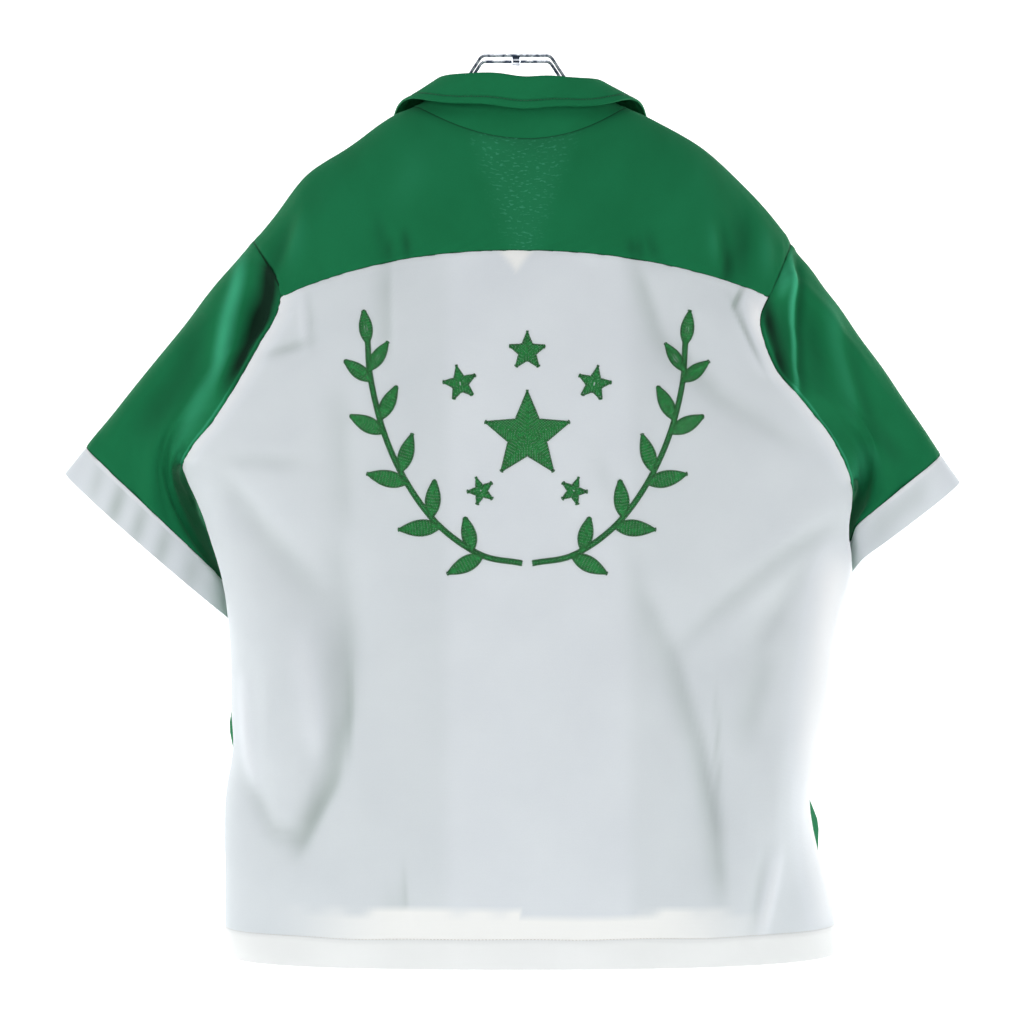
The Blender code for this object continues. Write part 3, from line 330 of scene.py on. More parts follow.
def clouded_finish(name, cloud, contrast, tints, gloss, **inputs):
    """A hard finish whose tint and roughness drift with one noise."""
    finish, tree, shader = new_finish(name, **inputs)
    drift = noise(tree, own_place(tree), *cloud)
    tint = blend_colours(tree, ranged(tree, drift, *contrast), *tints)
    feed(tree, shader, Base_Color=tint, Roughness=ranged(tree, drift, 0.0, 1.0, *gloss))
    return finish


def paint(mesh, finish):
    mesh.materials.clear()
    mesh.materials.append(FINISHES[finish])


THREADS = {
    "green_thread": ((0.012, 0.300, 0.060), (0.002, 0.110, 0.014)),
    "outline_thread": ((0.005, 0.160, 0.024), (0.002, 0.060, 0.010)),
    "seam_thread": ((0.004, 0.080, 0.034), (0.002, 0.040, 0.020)),
    "hem_thread": ((0.74, 0.71, 0.65), (0.58, 0.54, 0.49)),
}
for name, (colour, shade) in THREADS.items():
    FINISHES[name] = thread_finish(name, colour, shade)
FINISHES["button_green"] = clouded_finish(
    "pearly_button", (220.0, 4.0, 1.5), (0.35, 0.7),
    ((0.010, 0.105, 0.045, 1), (0.030, 0.190, 0.090, 1)), (0.22, 0.40),
    Base_Color=(0.012, 0.120, 0.050, 1), Roughness=0.28, Coat_Weight=0.4)
# The chrome's tint drifts between dark and pale as painted reflections of a darker room; its roughness
# drifts as smears.
FINISHES["chrome"] = clouded_finish(
    "chrome_smears_and_painted_reflections", (160.0, 5.0), (0.42, 0.58),
    ((0.10, 0.13, 0.19, 1), (0.66, 0.70, 0.76, 1)), (0.05, 0.20),
    Base_Color=(0.50, 0.54, 0.62, 1), Roughness=0.08, Metallic=1.0)
print("finishes:", list(FINISHES))

# %% [markdown]
# ## The form that the cloth follows
#
# A filled-out shirt is nearly a flattened tube that is closed along the shoulders. Every point of
# it can be named by two numbers: an angle round the body, and a rise, which is -1 at the hem, 0 at
# the armpits and 1 on the shoulders. Short tables of measured widths give the tube its outline.
# Naming the cloth this way means that neighbouring pieces can share a seam exactly.

# %% Sizes of the body
CLOTH = 0.0012
PIT_HEIGHT = -0.389
PIT_TILT = 0.011
HEM_HEIGHT = -0.813
HEM_SIDE_DROP = 0.007
CORE_HALF = 0.272
FLARE_POWER = 6
SHEET_POWER = 0.88
HALF_DEPTH = 0.105
NECK_HALF = 0.097
NECK_SHIFT = 0.004
NECK_BACK = 0.057
YOKE_HEIGHT = -0.190
YOKE_SPAN = 0.217
YOKE_DROP_LEFT = 0.040
YOKE_DROP_RIGHT = 0.033
YOKE_POWER = 2.2
FRONT_SEAM = 0.034
V_HEIGHT = -0.195
OVERLAP = 0.014
OVERLAP_STEP = 0.0015
OVERLAP_BLEND = 0.070
OVERLAP_TOP = 0.05
V_BEND = 0.93
V_INSET = 0.015
NECK_ARC = 0.75
CREASE_SIDE = 0.35
CREASE_TOP = 0.30
ROW_HEIGHT = 0.0355
BACK_COLUMNS = 32
FRONT_COLUMNS = 10
SIDE_ROWS = 12
ARM_ROWS = 9
YOKE_ARM_ROWS = 7
V_ROWS = 6
LEFT, RIGHT, BACK, FRONT = -1, 1, -1, 1
SIDE_NAMES = {LEFT: "left", RIGHT: "right"}

print("the body is", 2 * CORE_HALF, "m wide and", 2 * HALF_DEPTH, "m deep")

# %% Tables of the body's outline
# half widths of the body at the side seams
OUTLINE = named_rows(
    "height left right", 3,
    (-830, 264, 293), (-790, 264, 292), (-725, 265, 276), (-683, 266, 269), (-640, 259, 276),
    (-591, 261, 285), (-536, 262, 292), (-490, 267, 304), (-466, 272, 309), (-430, 286, 305),
    (-409, 292, 308), (-378, 306, 310),
)

# the line along the top of the shoulders
RIDGE = named_rows(
    "across height", 2,
    (-310, -250), (-241, -169), (-212, -136), (-189, -109), (-157, -85), (-94, -47), (0, -28),
    (102, -48), (151, -74), (189, -99), (220, -129), (252, -171), (310, -250),
)

# half widths at the armhole seam, from the pit (0) to the shoulder (1)
ARMHOLE = named_rows(
    "left right part", 2,
    (306, 310, 0), (295, 301, 0.08), (271, 286, 0.2), (256.5, 266.5, 0.3), (244, 248, 0.39),
    (233.5, 230, 0.475), (221, 220, 0.58), (211.5, 216, 0.65), (208.5, 220, 0.732),
    (210, 227.5, 0.775), (241, 252, 1),
)

# soft troughs (-) and ridges (+), on the back, then similar ones in front
CREASES = named_rows(
    "x0 z0 x1 z1 width depth sheet", 6,
    (-150, -440, -158, -610, 26, -12, BACK), (-158, -580, -188, -735, 28, -12, BACK),
    (-200, -520, -215, -700, 26, 9, BACK), (95, -455, 158, -610, 26, -11, BACK),
    (150, -575, 183, -765, 28, -12, BACK), (215, -600, 228, -770, 26, 8, BACK),
    (95, -205, 205, -345, 24, -7, BACK), (-262, -390, -175, -500, 22, -9, BACK),
    (285, -450, 175, -570, 24, -9, BACK), (-108, -200, -112, -290, 14, 3, BACK),
    (-250, -670, -180, -706, 22, -6, BACK), (-165, -430, -180, -700, 30, -11, FRONT),
    (150, -460, 190, -740, 30, -11, FRONT), (-255, -400, -130, -520, 24, -8, FRONT),
    (270, -430, 140, -540, 24, -8, FRONT), (-170, -180, -110, -330, 24, -5, FRONT),
    (175, -190, 110, -340, 24, -5, FRONT),
)

print("creases:", len(CREASES), "and the outline has", len(OUTLINE), "rows")

# %% Reading a table
def table_value(table, key, column, at):
    """A smooth value between a table's rows, by cubic Hermite."""
    rows = sorted(table, key=lambda row: getattr(row, key))
    xs = [getattr(row, key) for row in rows]
    ys = [getattr(row, column) for row in rows]
    at = min(max(at, xs[0]), xs[-1])
    i = max(k for k in range(len(xs) - 1) if xs[k] <= at or k == 0)

    def slope(k):
        low, high = max(k - 1, 0), min(k + 1, len(xs) - 1)
        return (ys[high] - ys[low]) / (xs[high] - xs[low])

    span = xs[i + 1] - xs[i]
    t = (at - xs[i]) / span
    return ((1 + 2 * t) * (1 - t) ** 2 * ys[i] + t * (1 - t) ** 2 * span * slope(i)
            + t * t * (3 - 2 * t) * ys[i + 1] + t * t * (t - 1) * span * slope(i + 1))


def smooth_step(value):
    value = min(max(value, 0.0), 1.0)
    return value * value * (3 - 2 * value)

print("shoulder height at the middle:", table_value(RIDGE, "across", "height", 0.0))

# %% The smooth body and its main creases
def pit_height(c):
    return PIT_HEIGHT - PIT_TILT * c


def ridge_height(x):
    return table_value(RIDGE, "across", "height", x)


def reach(c, height):
    """Half width that a point's cosine is multiplied by."""
    flare = table_value(OUTLINE, "height", SIDE_NAMES[LEFT if c < 0 else RIGHT], height) - CORE_HALF
    return CORE_HALF + flare * abs(c) ** FLARE_POWER


def smooth_torso(angle, rise):
    """The cloth without creases. angle: 0 right side, 90 front, 180 left, 270 back.

    rise: -1 hem, 0 armpits, 1 along the top of the shoulders, and past 1 down the other side.
    """
    if rise > 1:
        angle, rise = -angle, 2 - rise
    c, s = math.cos(angle), math.sin(angle)
    depth = math.copysign(HALF_DEPTH * abs(s) ** SHEET_POWER, s)
    pit = pit_height(c)
    if rise <= 0:
        hem = HEM_HEIGHT - HEM_SIDE_DROP * c * c
        z = pit + rise * (pit - hem)
        return Vector((c * reach(c, z), depth, z))
    x = c * reach(c, pit)
    arch = rise * math.pi / 2
    return Vector((x, depth * math.cos(arch), pit + (ridge_height(x) - pit) * math.sin(arch)))


def surface_normal(surface, angle, rise):
    """Unit normal, pointing out of the shirt."""
    step = 0.004
    across = surface(angle + step, rise) - surface(angle - step, rise)
    up = surface(angle, rise + step) - surface(angle, rise - step)
    return across.cross(up).normalized()


def crease_depth(point, sheet):
    """How far the creases push the cloth out at a point."""
    total = 0.0
    for crease in CREASES:
        if crease.sheet != sheet:
            continue
        run = Vector((crease.x1 - crease.x0, crease.z1 - crease.z0))
        offset = Vector((point.x - crease.x0, point.z - crease.z0))
        along = offset.dot(run) / run.length_squared
        aside = abs(offset.x * run.y - offset.y * run.x) / run.length
        fade = math.sin(math.pi * min(max(along * 0.8 + 0.1, 0.0), 1.0)) ** 2
        total += crease.depth * fade * math.exp(-(aside / crease.width) ** 2)
    return total


def torso(angle, rise):
    """The cloth with its creases, which fade out at the side seams and the shoulders."""
    point = smooth_torso(angle, rise)
    sine = math.sin(-angle if rise > 1 else angle)
    fade = smooth_step(abs(sine) / CREASE_SIDE) * smooth_step(abs(1 - rise) / CREASE_TOP)
    push = fade * crease_depth(point, BACK if sine < 0 else FRONT)
    if abs(push) < 1e-5:
        return point
    return point + surface_normal(smooth_torso, angle, rise) * push


def torso_normal(angle, rise):
    return surface_normal(torso, angle, rise)

print("hem point at the left side:", [round(n, 3) for n in torso(math.pi, -1)])

# %% [markdown]
# ## Where the seams run
#
# The yoke's seam, the armholes, the neck and the V are lines on that body. Each is found once, cut
# into even steps, and kept. Two pieces that meet read the same line.

# %% Finding places on the body
def angle_at(x, sheet):
    """The angle at which a sheet of the torso is at x, from the armpits upwards."""
    c = 0.0
    for _ in range(30):
        c = min(max(x / reach(math.copysign(abs(c), x), pit_height(c)), -1.0), 1.0)
    return sheet * math.acos(c)


def spot_by_height(x, z, sheet):
    """Angle and rise of the point above the armpits at x and z."""
    angle = angle_at(x, sheet)
    pit = pit_height(math.cos(angle))
    share = (z - pit) / (ridge_height(x) - pit)
    return angle, math.asin(min(max(share, 0.0), 1.0)) * 2 / math.pi


def spot_by_depth(x, y):
    """Angle and rise at x and y near the shoulders. Its angle is the back sheet's."""
    angle = angle_at(x, BACK)
    depth = HALF_DEPTH * abs(math.sin(angle)) ** SHEET_POWER
    rise = math.acos(min(max(abs(y) / depth, 0.0), 1.0)) * 2 / math.pi
    return angle, rise if y < 0 else 2 - rise


def over(spot):
    """The same place, named from the other sheet."""
    return -spot[0], 2 - spot[1]


def running(points):
    """Metres along a line of points, from 0 at its start."""
    lengths = [0.0]
    for before, after in zip(points, points[1:]):
        lengths.append(lengths[-1] + (after - before).length)
    return lengths


def evenly(line, count):
    """count + 1 spots along a line (0 to 1), the same distance apart in space."""
    fine = 120
    lengths = running([smooth_torso(*line(k / fine)) for k in range(fine + 1)])
    result, k = [], 0
    for n in range(count + 1):
        target = lengths[-1] * n / count
        while k < fine - 1 and lengths[k + 1] < target:
            k += 1
        part = (target - lengths[k]) / (lengths[k + 1] - lengths[k])
        result.append(line((k + part) / fine))
    return result

print("a spot on the back:", [round(number, 3) for number in spot_by_height(0.1, -0.3, BACK)])

# %% Armholes, yoke and neck
def armhole_width(side, part):
    """Half width of the body at an armhole seam, part 0 at the pit and 1 on top of the shoulder."""
    return table_value(ARMHOLE, "part", SIDE_NAMES[side], part)


def shoulder_height(side):
    return ridge_height(side * armhole_width(side, 1.0))


def armhole_spot(side, part, sheet):
    pit = pit_height(side)
    height = pit + part * (shoulder_height(side) - pit)
    return spot_by_height(side * armhole_width(side, part), height, sheet)


def yoke_seam_height(x):
    drop = YOKE_DROP_LEFT if x < 0 else YOKE_DROP_RIGHT
    return YOKE_HEIGHT - drop * (abs(x) / YOKE_SPAN) ** YOKE_POWER


def meeting(test, low, high):
    """Where test changes sign between low and high."""
    start = test(low) > 0
    for _ in range(40):
        middle = (low + high) / 2
        if (test(middle) > 0) == start:
            low = middle
        else:
            high = middle
    return low


def yoke_corner_part(side):
    """Where the yoke seam meets an armhole."""
    def above(part):
        point = smooth_torso(*armhole_spot(side, part, BACK))
        return point.z - yoke_seam_height(point.x)
    return meeting(above, 0.55, 0.95)


def front_corner_part(side):
    """Where the yoke's front edge meets an armhole."""
    def ahead(part):
        return smooth_torso(*armhole_spot(side, part, FRONT)).y - FRONT_SEAM
    return meeting(ahead, 0.55, 0.999)


def neck_x(side):
    return NECK_SHIFT + side * NECK_HALF


def v_spot(side, part):
    """A spot on a front's neck edge, part 0 at the yoke and 1 at the bottom of the V."""
    top = smooth_torso(*spot_by_depth(neck_x(side) * (1 - V_INSET), FRONT_SEAM))
    foot_x = -side * OVERLAP
    x = top.x + (foot_x - top.x) * part ** V_BEND
    return spot_by_height(x, top.z + (V_HEIGHT - 0.004 - top.z) * part, FRONT)


def neck_spot(turn):
    """A spot on the yoke's neck edge, turn -1 at its left front, 0 centre back, 1 right front."""
    side = LEFT if turn < 0 else RIGHT
    share = abs(turn)
    if share < NECK_ARC:
        round_by = share / NECK_ARC * math.pi / 2
        x = NECK_SHIFT + side * NECK_HALF * math.sin(round_by)
        return spot_by_depth(x, -max(NECK_BACK * math.cos(round_by), 1e-6))
    forward = (share - NECK_ARC) / (1 - NECK_ARC)
    x = neck_x(side) * (1 - V_INSET * forward ** 2)
    return spot_by_depth(x, max(FRONT_SEAM * forward, 1e-6))


def centre_spot(side, part):
    """A front's edge, from the hem (0) to the bottom of the V (1)."""
    x = -side * OVERLAP
    top = v_spot(side, 1.0)
    return math.acos(x / CORE_HALF), -1 + part * (top[1] + 1)

print("the yoke meets the armholes at", [round(yoke_corner_part(side), 3) for side in SIDE_NAMES])

# %% The shared seams
SEAMS = {}


def lay_out_seams():
    """Every line that two pieces share, as one list of spots."""
    corner = {side: yoke_corner_part(side) for side in SIDE_NAMES}
    front = {side: front_corner_part(side) for side in SIDE_NAMES}
    for side in SIDE_NAMES:
        turn = math.pi if side == LEFT else 2 * math.pi
        SEAMS["side", side] = evenly(lambda t: (turn, t - 1), SIDE_ROWS)
        SEAMS["arm back", side] = evenly(
            lambda t: armhole_spot(side, t * corner[side], BACK), ARM_ROWS)
        SEAMS["arm front", side] = evenly(
            lambda t: armhole_spot(side, t * front[side], FRONT), ARM_ROWS)

        def over_shoulder(t):
            reach_back, reach_front = 1 - corner[side], 1 - front[side]
            along = t * (reach_back + reach_front)
            if along < reach_back:
                return armhole_spot(side, corner[side] + along, BACK)
            return over(armhole_spot(side, 1 - (along - reach_back), FRONT))

        SEAMS["arm yoke", side] = evenly(over_shoulder, YOKE_ARM_ROWS)

        def front_seam(t):
            start = smooth_torso(*armhole_spot(side, front[side], FRONT)).x
            end = smooth_torso(*neck_spot(side)).x
            return spot_by_depth(start + (end - start) * t, FRONT_SEAM)

        SEAMS["front", side] = evenly(front_seam, FRONT_COLUMNS)
        SEAMS["v", side] = evenly(lambda t: v_spot(side, t), V_ROWS)
    left_x = smooth_torso(*armhole_spot(LEFT, corner[LEFT], BACK)).x
    right_x = smooth_torso(*armhole_spot(RIGHT, corner[RIGHT], BACK)).x

    def yoke_seam(t):
        x = left_x + (right_x - left_x) * t
        return spot_by_height(x, yoke_seam_height(x), BACK)

    SEAMS["yoke"] = evenly(yoke_seam, BACK_COLUMNS)
    SEAMS["hem back"] = evenly(lambda t: (math.pi + math.pi * t, -1), BACK_COLUMNS)
    count = BACK_COLUMNS + 2 * YOKE_ARM_ROWS
    SEAMS["neck"] = evenly(lambda t: neck_spot(2 * t - 1), count)


def positive(spots):
    """The same spots with the back sheet's angles between 180 and 360 degrees."""
    return [(angle % (2 * math.pi) if angle < -1e-9 else angle, rise) for angle, rise in spots]


def patch(bottom, top, left, right):
    """Rows of spots that fill four edges. bottom and top run left to right, the sides run up."""
    rows = []
    width, height = len(bottom) - 1, len(left) - 1
    for j in range(height + 1):
        v = j / height
        row = []
        for i in range(width + 1):
            u = i / width
            row.append(tuple(
                (1 - v) * bottom[i][k] + v * top[i][k] + (1 - u) * left[j][k] + u * right[j][k]
                - (1 - u) * (1 - v) * bottom[0][k] - u * (1 - v) * bottom[-1][k]
                - (1 - u) * v * top[0][k] - u * v * top[-1][k]
                for k in (0, 1)))
        rows.append(row)
    return rows

lay_out_seams()
print("seams:", len(SEAMS), "lines")

# %% [markdown]
# ## From a net of points to cloth
#
# A seam-to-seam net of a few hundred points gives a piece's form. A Subdivision Surface modifier
# could smooth it, but it would also pull the piece away from its seams. Smooth curves through all
# the points keep every seam where it is, and let the lines run closer together beside a seam or a
# hem, where the cloth has its finest shape. The wall is then built with an outer and an inner skin.

# %% Smooth curves through a net
def smooth_through(values, places, loop=False):
    """Values at fractional places along an array, on smooth curves through all its rows."""
    count = len(values)
    low = np.clip(np.floor(places + 1e-9).astype(int), 0, count - (1 if loop else 2))
    part = (places - low).reshape((-1,) + (1,) * (values.ndim - 1))
    if loop:
        before, here, after, later = (values[(low + k) % count] for k in (-1, 0, 1, 2))
    else:
        longer = np.concatenate(
            [2 * values[:1] - values[1:2], values, 2 * values[-1:] - values[-2:-1]])
        before, here, after, later = (longer[low + k] for k in (0, 1, 2, 3))
    cubic = 3 * (here - after) + later - before
    square = 2 * before - 5 * here + 4 * after - later
    return here + 0.5 * part * (after - before + part * (square + part * cubic))


def lines_along(count, per, tight=(), loop=False):
    """Places from 0 to count, per of them to a step, and closer together beside the tight ones."""
    places = {round(k / per, 4) for k in range(count * per + 1)}
    for middle, reach_out in tight:
        for share in (-1, -0.5, -0.25, -0.1, 0, 0.1, 0.25, 0.5, 1):
            places.add(round(min(max(middle + share * reach_out, 0), count), 4))
    ordered = np.array(sorted(places))
    return ordered[:-1] if loop else ordered


def net_of(rows):
    return np.array([[tuple(point) for point in row] for row in rows])


def finer(rows, down, across, loop=False):
    net = smooth_through(net_of(rows), down)
    return smooth_through(net.swapaxes(0, 1), across, loop).swapaxes(0, 1)

print("places along two steps:", lines_along(2, 2, [(0, 0.2)]))

# %% Normals and lengths on a net
def soft_step(value):
    value = np.clip(value, 0, 1)
    return value * value * (3 - 2 * value)


BEHIND, AHEAD, ABOVE = (0, -1, 0), (0, 1, 0), (0, 0, 1)


def outward(net, loop, facing):
    """Unit normals of a net. facing points roughly out of the shirt at each point."""
    down = np.gradient(net, axis=0)
    across = np.roll(net, -1, 1) - np.roll(net, 1, 1) if loop else np.gradient(net, axis=1)
    normals = np.cross(across, down)
    normals /= np.linalg.norm(normals, axis=-1, keepdims=True) + 1e-12
    sign = 1.0 if (normals * facing).sum() > 0 else -1.0
    return normals * sign


def run_lengths(net, axis):
    """Metres of cloth from the first line of a net to each of its points."""
    steps = np.linalg.norm(np.diff(net, axis=axis), axis=-1)
    start = np.zeros_like(np.take(steps, [0], axis=axis))
    return np.concatenate([start, np.cumsum(steps, axis=axis)], axis=axis)


# %% Building a wall of cloth
def shell(name, net, normals, thickness, finish, loop=False, **marks):
    """A closed wall, one cloth thick, round a net of points, with a map in metres called cloth.

    Each mark is an array of one number a point, kept on the outer skin for the finish to read.
    """
    rows, columns = net.shape[:2]
    wide = columns if loop else columns - 1
    j, i = (a.ravel() for a in np.meshgrid(np.arange(rows - 1), np.arange(wide), indexing="ij"))
    k = (i + 1) % columns
    quads = np.stack([j * columns + i, j * columns + k, (j + 1) * columns + k,
                      (j + 1) * columns + i], -1)
    closed = np.concatenate([net, net[:, :1]], 1) if loop else net
    across, down = run_lengths(closed, 1), run_lengths(closed, 0)
    middle = closed.shape[1] // 2
    flat = np.stack([across - across[:, middle:middle + 1], down], -1)
    quad_map = np.stack([flat[j, i], flat[j, i + 1], flat[j + 1, i + 1], flat[j + 1, i]], 1)
    rims = []
    for line in range(wide):
        after = (line + 1) % columns
        rims.append((after, line))
        top = (rows - 1) * columns
        rims.append((top + line, top + after))
    if not loop:
        for line in range(rows - 1):
            rims.append((line * columns, (line + 1) * columns))
            rims.append(((line + 2) * columns - 1, (line + 1) * columns - 1))
    rims = np.array(rims)
    total = rows * columns
    rim_quads = np.stack([rims[:, 0], rims[:, 1], rims[:, 1] + total, rims[:, 0] + total], -1)
    flat_points = flat[:, :columns].reshape(-1, 2)
    rim_map = flat_points[rim_quads % total]
    faces = np.concatenate([quads, quads[:, ::-1] + total, rim_quads])
    face_map = np.concatenate([quad_map, quad_map[:, ::-1], rim_map])
    mid_row, mid_column = rows // 2, columns // 2
    own = np.cross(net[mid_row, mid_column + 1] - net[mid_row, mid_column],
                   net[mid_row + 1, mid_column] - net[mid_row, mid_column])
    if (own * normals[mid_row, mid_column]).sum() < 0:
        faces, face_map = faces[:, ::-1], face_map[:, ::-1]
    half = np.asarray(thickness)[..., None] / 2 if np.ndim(thickness) else thickness / 2
    points = np.concatenate([(net + normals * half).reshape(-1, 3),
                             (net - normals * half).reshape(-1, 3)])
    mesh = bpy.data.meshes.new(name)
    mesh.from_pydata(points.tolist(), [], faces.tolist())
    cloth_map = mesh.uv_layers.new(name="cloth")
    cloth_map.data.foreach_set("uv", face_map.astype(np.float32).ravel())
    for label, value in marks.items():
        mark = mesh.attributes.new(label, "FLOAT", "POINT")
        mark.data.foreach_set("value", np.append(value, value * 0).astype(np.float32))
    mesh.shade_smooth()
    mesh.set_sharp_from_angle(angle=math.radians(60))
    paint(mesh, finish)
    piece = show(name, mesh)
    size = flat.reshape(-1, 2).max(0) - flat.reshape(-1, 2).min(0)
    corners = points[quads]
    area = np.linalg.norm(np.cross(corners[:, 2] - corners[:, 0], corners[:, 3] - corners[:, 1]),
                          axis=1).sum() / 2
    print(name, len(faces) * 2, "triangles, cloth", [round(float(n), 3) for n in size],
          "m, area", round(float(area), 4))
    return piece


# %% [markdown]
# ## Folds, drift and puckers
#
# Cloth simulation is one way to get folds. Here each main fold has a known place, so it is pressed
# into the net: a soft trough or ridge along a line, steeper on one side. Lamps as soft as these
# leave shallow folds pale, so each row of a table also carries painted shade and light, from -1
# for dark to 1 for pale, that the finish reads: painted shade in troughs and painted highlights on
# ridges. A slow drift of long waves keeps the panels from looking machined, and a seam puckers the
# cloth beside it because its thread is a little shorter than the cloth.

# %% Pressing folds into a net
def folds(*rows):
    """Rows of a fold table: x and z of both ends, width and depth in millimetres, painted shade below 0
    and light above 0, and skew.
    """
    return named_rows("x0 z0 x1 z1 width depth tone skew", 6, *rows)


def press(net, table):
    """How far folds push each point of a net outwards, and the painted shade and light that they give it.
    """
    x, z = net[..., 0], net[..., 2]
    push, tone = np.zeros(x.shape), np.zeros(x.shape)
    for fold in table:
        run_x, run_z = fold.x1 - fold.x0, fold.z1 - fold.z0
        length = math.hypot(run_x, run_z)
        along = ((x - fold.x0) * run_x + (z - fold.z0) * run_z) / length ** 2
        aside = ((x - fold.x0) * run_z - (z - fold.z0) * run_x) / length
        width = fold.width * (1 + fold.skew * np.tanh(aside / fold.width))
        fade = soft_step(0.5 + np.minimum(along, 1 - along) * length / min(0.050, length))
        profile = fade * np.exp(-(aside / width) ** 2)
        push += fold.depth * profile
        tone += fold.tone * profile
    return push, tone


def painted_seam_band(distance, width, amount):
    """A narrow band beside a seam, painted shade where the amount is below 0 and painted light where it
    is above 0.
    """
    return amount * np.exp(-(distance / width) ** 2)


def drift_push(first, second, size, depth, seed):
    """Long uneven waves over two coordinates in metres, mostly across the first one."""
    dice = np.random.default_rng(seed)
    push = np.zeros(first.shape)
    for _ in range(10):
        heading = dice.uniform(-0.6, 0.6)
        pitch = size * dice.uniform(0.6, 1.9)
        place = first * math.cos(heading) + second * math.sin(heading)
        push += np.sin(place / pitch * 2 * math.pi + dice.uniform(0, 6.28))
    return push * depth / 3


def pucker_push(distance, along, pitch, depth, seed, fade=0.012):
    """Small uneven gathers beside a seam, and the groove of the seam itself."""
    dice = np.random.default_rng(seed)
    wave = np.zeros(along.shape)
    for share in (1.0, 1.7, 2.6):
        swing = dice.uniform(0.8, 1.2)
        wave += np.sin(along / (pitch * share) * 2 * math.pi * swing + dice.uniform(0, 6.28))
    gathers = depth * wave / 3 * np.exp(-distance / fade)
    groove = -0.0006 * np.exp(-(distance / 0.0018) ** 2)
    return gathers + groove

# %% [markdown]
# ## The back panel
#
# One white piece runs from side seam to side seam, and from the yoke's seam to a hem turned up 26
# millimetres. Its net is a Coons patch: the surface that four given edges span. The long folds
# come from the form itself, and the shorter ones are pressed in here.

# %% Back panel
def on_body(spots):
    return [[torso(*spot) for spot in row] for row in spots]


# Besides its depth, each row paints shade into a trough or light onto a ridge; the rows of depth 0 only
# paint, such as the painted light down the right edge.
BACK_FOLDS = folds(
    (-113, -201, -112, -277, 7, -2, -0.26, 0.6), (-220, -277, -185, -268, 5, -2.5, -0.32, 0),
    (-189, -232, -186, -268, 4, 1.5, 0.2, 0), (-182, -232, -180, -269, 5, -1.5, -0.16, 0),
    (-154, -312, -150, -425, 12, -2, -0.15, 0.3), (-256, -369, -188, -374, 8, -2, -0.11, 0),
    (-262, -386, -172, -493, 12, -2.5, -0.13, 0.2), (-157, -442, -150, -520, 14, -2, -0.12, 0.2),
    (-150, -520, -150, -594, 12, -3, -0.26, 0.2), (-150, -594, -161, -655, 10, -4, -0.42, 0.3),
    (-161, -655, -190, -710, 9, -5, -0.54, 0.3), (-147, -555, -145, -633, 4, -1.5, -0.2, 0),
    (-188, -529, -172, -633, 12, 3, 0.15, 0), (-240, -659, -218, -699, 8, -3, -0.15, 0),
    (-218, -699, -186, -708, 8, -3, -0.17, 0), (-244, -573, -236, -651, 8, 3, 0.2, 0),
    (104, -201, 126, -266, 8, -2.5, -0.26, 0.3), (126, -266, 180, -317, 10, -2.5, -0.21, 0.2),
    (180, -317, 246, -355, 10, -2, -0.12, 0), (200, -220, 193, -236, 2.8, -2, -0.72, 0),
    (193, -236, 219, -288, 3.8, -2.5, -0.62, -0.3), (209, -230, 216, -260, 5.5, 2.5, 0.55, 0),
    (83, -408, 107, -486, 12, -1.5, -0.09, 0), (107, -486, 139, -555, 11, -2.5, -0.18, 0.3),
    (139, -555, 161, -625, 9, -3.5, -0.27, 0.3), (161, -625, 175, -694, 8, -4, -0.32, 0.3),
    (175, -694, 180, -751, 8, -3.5, -0.27, 0.3), (175, -581, 178, -668, 2.5, -1.2, -0.22, 0),
    (281, -432, 240, -454, 9, -3, -0.16, 0), (240, -454, 176, -505, 10, -3, -0.17, 0),
    (176, -505, 142, -536, 9, -2, -0.11, 0), (264, -454, 213, -534, 12, -2.5, -0.11, 0.2),
    (222, -542, 201, -616, 14, -3, -0.17, 0.2), (231, -729, 217, -790, 6, 2.5, 0.3, 0),
    (219, -720, 210, -781, 6, -2, -0.16, 0), (-97, -729, -96, -772, 3, -1, -0.2, 0),
    (-105, -746, -105, -785, 10, -1, -0.14, 0), (70, -368, 83, -401, 9, -1.5, -0.1, 0),
    (291, -461, 265, -640, 18, 0, 0.85, 0), (265, -640, 283, -792, 16, 0, 0.6, 0),
)
HEM_TURN = 0.026
HEM_SWELL = 0.0004          # the turned hem stands out this much
HEM_EXTRA = 0.0007          # and is this much thicker

left = positive(SEAMS["side", LEFT] + SEAMS["arm back", LEFT][1:])
right = positive(SEAMS["side", RIGHT] + SEAMS["arm back", RIGHT][1:])
right = [(angle if angle > 0 else 2 * math.pi, rise) for angle, rise in right]
back_spots = patch(SEAMS["hem back"], positive(SEAMS["yoke"]), left, right)
back_rows = SIDE_ROWS + ARM_ROWS
back_net = finer(on_body(back_spots),
                 lines_along(back_rows, 5, [(back_rows, 0.14), (back_rows - 0.5, 0.4),
                                            (HEM_TURN / ROW_HEIGHT, 0.10), (0, 0.1)]),
                 lines_along(BACK_COLUMNS, 5, [(0, 0.2), (BACK_COLUMNS, 0.2)]))
back_out = outward(back_net, False, BEHIND)
from_hem = run_lengths(back_net, 0)
from_yoke = from_hem[-1:] - from_hem
from_left = run_lengths(back_net, 1)
from_side = np.minimum(from_left, from_left[:, -1:] - from_left)
inside = soft_step(from_side / 0.03) * soft_step(from_yoke / 0.012) * soft_step(from_hem / 0.02)
pressed, tone = press(back_net, BACK_FOLDS)
push = pressed * soft_step(from_side / 0.01)
push += inside * drift_push(back_net[..., 0], back_net[..., 2], size=0.11, depth=0.0016, seed=11)
push += pucker_push(from_yoke, from_left, pitch=0.011, depth=0.0005, seed=12)
push += pucker_push(from_side, from_hem, pitch=0.013, depth=0.0005, seed=13)
stitch_line = np.abs(from_hem - HEM_TURN)
push += 0.5 * pucker_push(stitch_line, from_left + from_hem, pitch=0.009, depth=0.0006, seed=14,
                          fade=0.006)
in_turn = soft_step((HEM_TURN - from_hem) / 0.004)
push += HEM_SWELL * in_turn
back_net = back_net + back_out * push[..., None]
back_out = outward(back_net, False, BEHIND)
